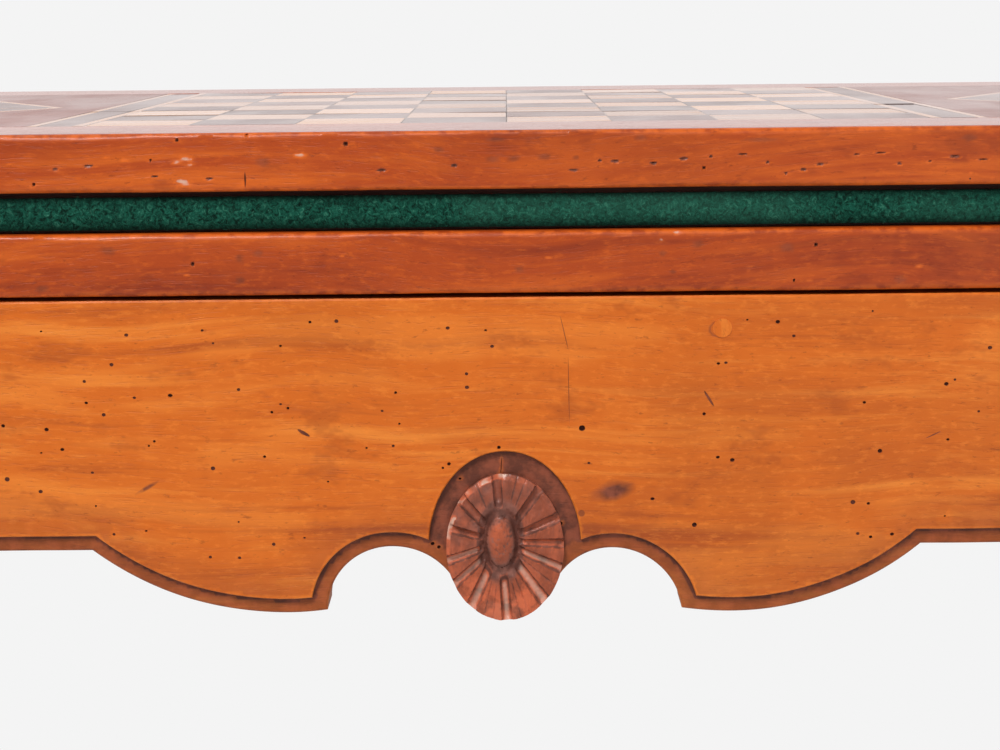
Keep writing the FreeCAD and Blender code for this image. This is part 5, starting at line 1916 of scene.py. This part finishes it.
class TABLE_OT_front_rail(bpy.types.Operator):
    """Carve the front rail: sunk band, arches, hood and worm holes"""

    bl_idname = "games_table.front_rail"
    bl_label = "Front rail"

    def execute(self, context):
        s = context.scene.table_carving
        wear = context.scene.table_wear
        face = RailFace(s, wear, front_half, FRAME_HX - s.post, True, True, wear.holes, 5)
        carved_rail("carved_front_rail", face, finish_for(context, "apron_wood_x"),
                    "front_rail", Matrix.Translation((0, -FRAME_HY, 0)))
        return {"FINISHED"}


class TABLE_OT_other_rails(bpy.types.Operator):
    """Carve the side rails and plane the back rail"""

    bl_idname = "games_table.other_rails"
    bl_label = "Side and back rails"

    def execute(self, context):
        s = context.scene.table_carving
        wear = context.scene.table_wear
        side_wood = finish_for(context, "apron_wood_y")
        end_y = FRAME_HY - s.post
        for side, name in ((1, "right_rail"), (-1, "left_rail")):
            place = Matrix.Translation((side * FRAME_HX, 0, 0)) @ Matrix.Rotation(
                side * math.pi / 2, 4, "Z")
            face = RailFace(s, wear, side_half, end_y, True, False, 36, 8 + side)
            carved_rail("carved_" + name, face, side_wood, name, place)
        place = Matrix.Translation((0, FRAME_HY, 0)) @ Matrix.Rotation(math.pi, 4, "Z")
        face = RailFace(s, wear, plain_half, FRAME_HX - s.post, False, False, 30, 14)
        carved_rail("planed_back_rail", face, finish_for(context, "softwood_x"), "back_rail",
                    place)
        return {"FINISHED"}


class TABLE_OT_rosette(bpy.types.Operator):
    """Carve the oval flower over the middle of the front rail"""

    bl_idname = "games_table.rosette"
    bl_label = "Rosette"

    def execute(self, context):
        carved_rosette(context.scene.table_carving, finish_for(context, "rosette_wood"))
        return {"FINISHED"}


class TABLE_OT_legs(bpy.types.Operator):
    """Carve the four cabriole legs"""

    bl_idname = "games_table.legs"
    bl_label = "Legs"

    def execute(self, context):
        s = context.scene.table_carving
        wood = finish_for(context, "apron_wood_z")
        corners = (("front_right", 1, 1), ("front_left", -1, 1), ("back_right", 1, -1),
                   ("back_left", -1, -1))
        for seed, (corner, sign_x, sign_y) in enumerate(corners):
            carved_leg(s, corner, sign_x, sign_y, wood, 31 + seed)
        return {"FINISHED"}


class TABLE_OT_carcase(bpy.types.Operator):
    """Finish the pegs, blocks, well, pivot rail and the felt under the top"""

    bl_idname = "games_table.carcase"
    bl_label = "Carcase"

    def execute(self, context):
        finish_nodes(context, ("joint_pegs", "apron_wood_z", 0.25),
                     ("pivot_rail_plugs", "apron_wood_z", 0.15),
                     ("corner_blocks", "softwood_z", 0.6), ("well_cleats", "softwood_x", 0.8),
                     ("well_boards", "softwood_x", 0.5), ("pivot_rail", "softwood_y", 0.6),
                     ("stop_peg", "softwood_z", 0.8))

        low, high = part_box("rub_pads")
        half = 12 * MM
        points, faces = [], []
        for seed, (x, y) in enumerate(((low.x, low.y), (high.x, low.y), (low.x, high.y),
                                       (high.x, high.y))):
            felt_square(points, faces, x - math.copysign(half, x), y - math.copysign(half, y),
                        half, low.z, high.z, 41 + seed)
        felt = make_piece("felt_squares", points, faces, finish_for(context, "grey_felt"), "frame",
                          nodes=["rub_pads"])

        boards_low, boards_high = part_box("well_boards")
        cleats_low, cleats_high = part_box("well_cleats")
        inset = 7 * MM
        z = boards_high.z - 0.1 * MM
        places = [(x, y, z)
                  for x in np.linspace(boards_low.x + 40 * MM, boards_high.x - 40 * MM, 7)
                  for y in (cleats_low.y + inset, cleats_high.y - inset)]
        places += [(x, y, z) for x in (cleats_low.x + inset, cleats_high.x - inset)
                   for y in (-90 * MM, -30 * MM, 30 * MM, 90 * MM)]
        screws("well_screws", places, (0, 0, 1), 2.6 * MM,
               finish_for(context, "wrought_iron"), "frame", 51)
        return {"FINISHED"}


class TABLE_OT_lower_leaf(bpy.types.Operator):
    """Plane the lower leaf and sink its hardware"""

    bl_idname = "games_table.lower_leaf"
    bl_label = "Lower leaf"

    def execute(self, context):
        lower_board(context.scene.table_wear, finish_for(context, "leaf_wood_x"))
        # the panel's foot in the rebate is painted near-black as shade
        finish_nodes(context, ("lower_panel", "glue_and_shade", 0))
        return {"FINISHED"}


class TABLE_OT_top_leaf(bpy.types.Operator):
    """Plane the mitred strips round the inlaid top"""

    bl_idname = "games_table.top_leaf"
    bl_label = "Top leaf"

    def execute(self, context):
        wear = context.scene.table_wear
        for side in ("front", "back"):
            edge_strip(side + "_strip", side, wear, finish_for(context, "leaf_wood_x"))
        for side in ("left", "right"):
            edge_strip(side + "_strip", side, wear, finish_for(context, "leaf_wood_y"))
        # the core shows as dark joints between the inlays; the upper panel's foot in its rebate is
        # painted near-black as shade
        finish_nodes(context, ("top_leaf_core", "glue_and_shade", 0), ("upper_panel", "glue_and_shade", 0))
        return {"FINISHED"}


class TABLE_OT_inlays(bpy.types.Operator):
    """Lay the squares, lines, bands, panels and stars"""

    bl_idname = "games_table.inlays"
    bl_label = "Inlays"

    def execute(self, context):
        wear = context.scene.table_wear
        rows = (("light_squares", board_squares(True), "light_squares", "light", "light_squares"),
                ("dark_squares", board_squares(False), "dark_squares", "dark", "dark_squares"),
                ("stringing", strip_pair("board_stringing", "light_squares"), "light_lines",
                 "light", "board_stringing"),
                ("bands", strip_pair("dark_bands", "board_stringing"), "dark_lines", "dark",
                 "dark_bands"),
                ("outer_lines", strip_pair("outer_lines", "dark_bands"), "light_lines", "light",
                 "outer_lines"))
        for seed, (name, outlines, finish, tone, node) in enumerate(rows, 61):
            laid_tiles("laid_" + name, outlines, wear, finish_for(context, finish), node,
                       tone + "_inlay", seed)
        finish_nodes(context, ("side_panels", "side_veneer", 0.12),
                     ("lozenge_lines", "light_lines", 0.12),
                     ("lozenge_grounds", "dark_lines", 0.12),
                     ("star_points_light", "light_lines", 0.06),
                     ("star_points_dark", "dark_lines", 0.06))
        return {"FINISHED"}


class TABLE_OT_baize(bpy.types.Operator):
    """Cover both panels with baize and raise its nap"""

    bl_idname = "games_table.baize"
    bl_label = "Baize"

    def execute(self, context):
        wear = context.scene.table_wear
        cloth = finish_for(context, "green_baize")
        hairs = finish_for(context, "baize_hair")
        for lower, body in ((True, "lower"), (False, "upper")):
            pad = baize_pad(body + "_baize_cover", lower, cloth)
            nap = loose_fibres(body + "_baize_nap", lower, wear, hairs, 71 + lower)
        return {"FINISHED"}


class TABLE_OT_hardware(bpy.types.Operator):
    """Finish the hinges and the pivot and drive their screws"""

    bl_idname = "games_table.hardware"
    bl_label = "Hinges and pivot"

    def execute(self, context):
        brass = finish_for(context, "old_brass")
        iron = finish_for(context, "wrought_iron")
        finish_nodes(context, ("hinge_plates_lower", "old_brass", 0.3),
                     ("hinge_plates_upper", "old_brass", 0.3), ("pivot_bush", "old_brass", 0.4),
                     ("hinge_pins", "wrought_iron", 0.3), ("pivot_plate", "wrought_iron", 0.4),
                     ("pivot_bolt", "wrought_iron", 0.5), ("pivot_washer", "wrought_iron", 0.4),
                     ("pivot_nut", "wrought_iron", 0.7))
        low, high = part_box("hinge_plates_lower")
        plate_y = low.y + 2 * MM
        for name, body, z in (("lower", "lower_leaf", low.z + 9 * MM),
                              ("upper", "top_leaf", 2 * HINGE_Z - low.z - 9 * MM)):
            places = [((x0 + x1) / 2 + shift, plate_y + 0.05 * MM, z)
                      for x0, x1 in hinge_spans() for shift in (-20 * MM, 0.0, 20 * MM)]
            screws("hinge_screws_" + name, places, (0, 1, 0), 3.3 * MM, brass, body,
                   81 if name == "lower" else 82)
        low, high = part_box("pivot_plate")
        inset = 15 * MM
        places = [(x, y, low.z - 0.05 * MM) for x in (low.x + inset, high.x - inset)
                  for y in (low.y + inset, high.y - inset)]
        screws("pivot_plate_screws", places, (0, 0, -1), 4.2 * MM, iron, "lower_leaf",
               83)
        return {"FINISHED"}


class TABLE_OT_stage(bpy.types.Operator):
    """Set the camera, the soft light, the floor and the pale surroundings"""

    bl_idname = "games_table.stage"
    bl_label = "Stage"

    def execute(self, context):
        stage = context.scene.table_stage
        self.set_camera(context, stage)
        self.set_light(context, stage)
        self.lay_floor(context, stage)
        context.scene.view_settings.view_transform = "Standard"
        return {"FINISHED"}

    def set_camera(self, context, stage):
        turn = Matrix.Rotation(stage.yaw, 3, "Z")
        forward = turn @ Vector((0, math.cos(stage.pitch), -math.sin(stage.pitch)))
        right = turn @ Vector((1, 0, 0))
        up = right.cross(forward)
        tilted_right = right * math.cos(stage.roll) + up * math.sin(stage.roll)
        tilted_up = up * math.cos(stage.roll) - right * math.sin(stage.roll)
        axes = Matrix((tilted_right, tilted_up, -forward)).transposed()
        data = bpy.data.cameras.new("camera")
        data.sensor_width = 36.0
        data.lens = stage.lens
        data.clip_start = 0.02
        data.clip_end = 100.0
        camera = placed("camera", data)
        camera.matrix_world = Matrix.Translation(stage.camera) @ axes.to_4x4()
        context.scene.camera = camera

    def set_light(self, context, stage):
        world = bpy.data.worlds.new("surroundings")
        context.scene.world = world
        bench = Bench(world)
        white = (stage.backdrop, stage.backdrop, stage.backdrop, 1.0)
        lit = bench.add("ShaderNodeBackground", {}, {0: (1.0, 1.0, 1.0, 1.0),
                                                     1: stage.ambient})
        seen = bench.add("ShaderNodeBackground", {}, {0: white, 1: 1.0})
        way = bench.add("ShaderNodeTexCoord", {}, {}, "Generated")
        behind = bench.add("ShaderNodeSeparateXYZ", {}, {0: way}, 1).rise(-0.35, 0.5)
        sheen = behind.scaled(0.0, 1.0, stage.sheen_front, stage.sheen_back)
        shone = bench.add("ShaderNodeBackground", {}, {0: (1.0, 0.92, 0.91, 1.0), 1: sheen})
        glossy = bench.add("ShaderNodeLightPath", {}, {}, "Is Glossy Ray")
        lit = bench.add("ShaderNodeMixShader", {}, {0: glossy, 1: lit, 2: shone})
        shader = bench.add("ShaderNodeMixShader", {}, {0: self.seen_ray(bench), 1: lit,
                                                       2: seen})
        bench.add("ShaderNodeOutputWorld", {}, {"Surface": shader})
        middle = Vector((0, 0, 0.62))
        for name, place, size, power in (
                ("key", Vector((-0.9, -2.0, 2.8)), 0.9, stage.key),
                ("fill", Vector((1.6, -2.2, 0.9)), 1.8, stage.fill)):
            data = bpy.data.lights.new(name, "AREA")
            data.size = size
            data.energy = power
            lamp = placed(name, data)
            lamp.location = place
            lamp.rotation_mode = "QUATERNION"
            lamp.rotation_quaternion = (middle - place).to_track_quat("-Z", "Y")

    def seen_ray(self, bench):
        """1 for rays that show the surroundings in the picture."""
        camera = bench.add("ShaderNodeLightPath", {}, {}, "Is Camera Ray")
        through = bench.add("ShaderNodeLightPath", {}, {}, "Is Transmission Ray")
        return (camera + through).least(1.0)

    def lay_floor(self, context, stage):
        """A pale floor that holds the shadow near the table and fades into the backdrop."""
        mesh = bpy.data.meshes.new("floor")
        reach = 12.0
        mesh.from_pydata([(-reach, -reach, -0.3 * MM), (reach, -reach, -0.3 * MM),
                          (reach, reach, -0.3 * MM), (-reach, reach, -0.3 * MM)],
                         [], [(0, 1, 2, 3)])
        floor = placed("floor", mesh)
        bench = Bench(bpy.data.materials.new("floor"))
        flat = bench.stretch(bench.place, 1.0, 1.0, 0.0)
        far = bench.add("ShaderNodeVectorMath", {"operation": "LENGTH"}, {0: flat}, "Value")
        grain = bench.cloud(bench.place, 40.0, 3.0)
        pale = bench.ramp(grain, (0.3, (0.80, 0.80, 0.80, 1.0)), (0.7, (0.84, 0.84, 0.84, 1.0)))
        plain = bench.add("ShaderNodeBsdfDiffuse", {}, {"Color": pale, "Roughness": 0.6})
        white = (stage.backdrop, stage.backdrop, stage.backdrop, 1.0)
        bright = bench.add("ShaderNodeEmission", {}, {0: white, 1: 1.0})
        factor = far.rise(0.62, 1.15) * self.seen_ray(bench)
        shader = bench.add("ShaderNodeMixShader", {}, {0: factor, 1: plain, 2: bright})
        bench.add("ShaderNodeOutputMaterial", {}, {"Surface": shader})
        mesh.materials.append(bench.owner)


OPERATORS = (TABLE_OT_front_rail, TABLE_OT_other_rails, TABLE_OT_rosette, TABLE_OT_legs,
             TABLE_OT_carcase, TABLE_OT_lower_leaf, TABLE_OT_top_leaf, TABLE_OT_inlays,
             TABLE_OT_baize, TABLE_OT_hardware, TABLE_OT_stage)
GROUPS = {"table_carving": TableCarving, "table_wear": TableWear,
          "table_colours": TableColours, "table_stage": TableStage}


class TABLE_PT_panel(bpy.types.Panel):
    """The sizes, colours and steps of the games table"""

    bl_idname = "TABLE_PT_panel"
    bl_label = "Games table"
    bl_space_type = "VIEW_3D"
    bl_region_type = "UI"
    bl_category = "Games table"

    def draw(self, context):
        layout = self.layout
        for name, group in GROUPS.items():
            box = layout.box()
            box.label(text=name.replace("_", " ").capitalize())
            for setting in group.__annotations__:
                box.prop(getattr(context.scene, name), setting)
        for operator in OPERATORS:
            layout.operator(operator.bl_idname)


def register():
    for group in GROUPS.values():
        bpy.utils.register_class(group)
    for name, group in GROUPS.items():
        setattr(bpy.types.Scene, name, PointerProperty(type=group))
    for operator in OPERATORS:
        bpy.utils.register_class(operator)
    bpy.utils.register_class(TABLE_PT_panel)


def unregister():
    bpy.utils.unregister_class(TABLE_PT_panel)
    for operator in reversed(OPERATORS):
        bpy.utils.unregister_class(operator)
    for name in GROUPS:
        delattr(bpy.types.Scene, name)
    for group in reversed(list(GROUPS.values())):
        bpy.utils.unregister_class(group)


def main():
    register()
    steps = bpy.ops.games_table
    steps.stage()
    steps.front_rail()
    steps.other_rails()
    steps.rosette()
    steps.legs()
    steps.carcase()
    steps.lower_leaf()
    steps.top_leaf()
    steps.inlays()
    steps.baize()
    steps.hardware()


if __name__ == "__main__":
    main()
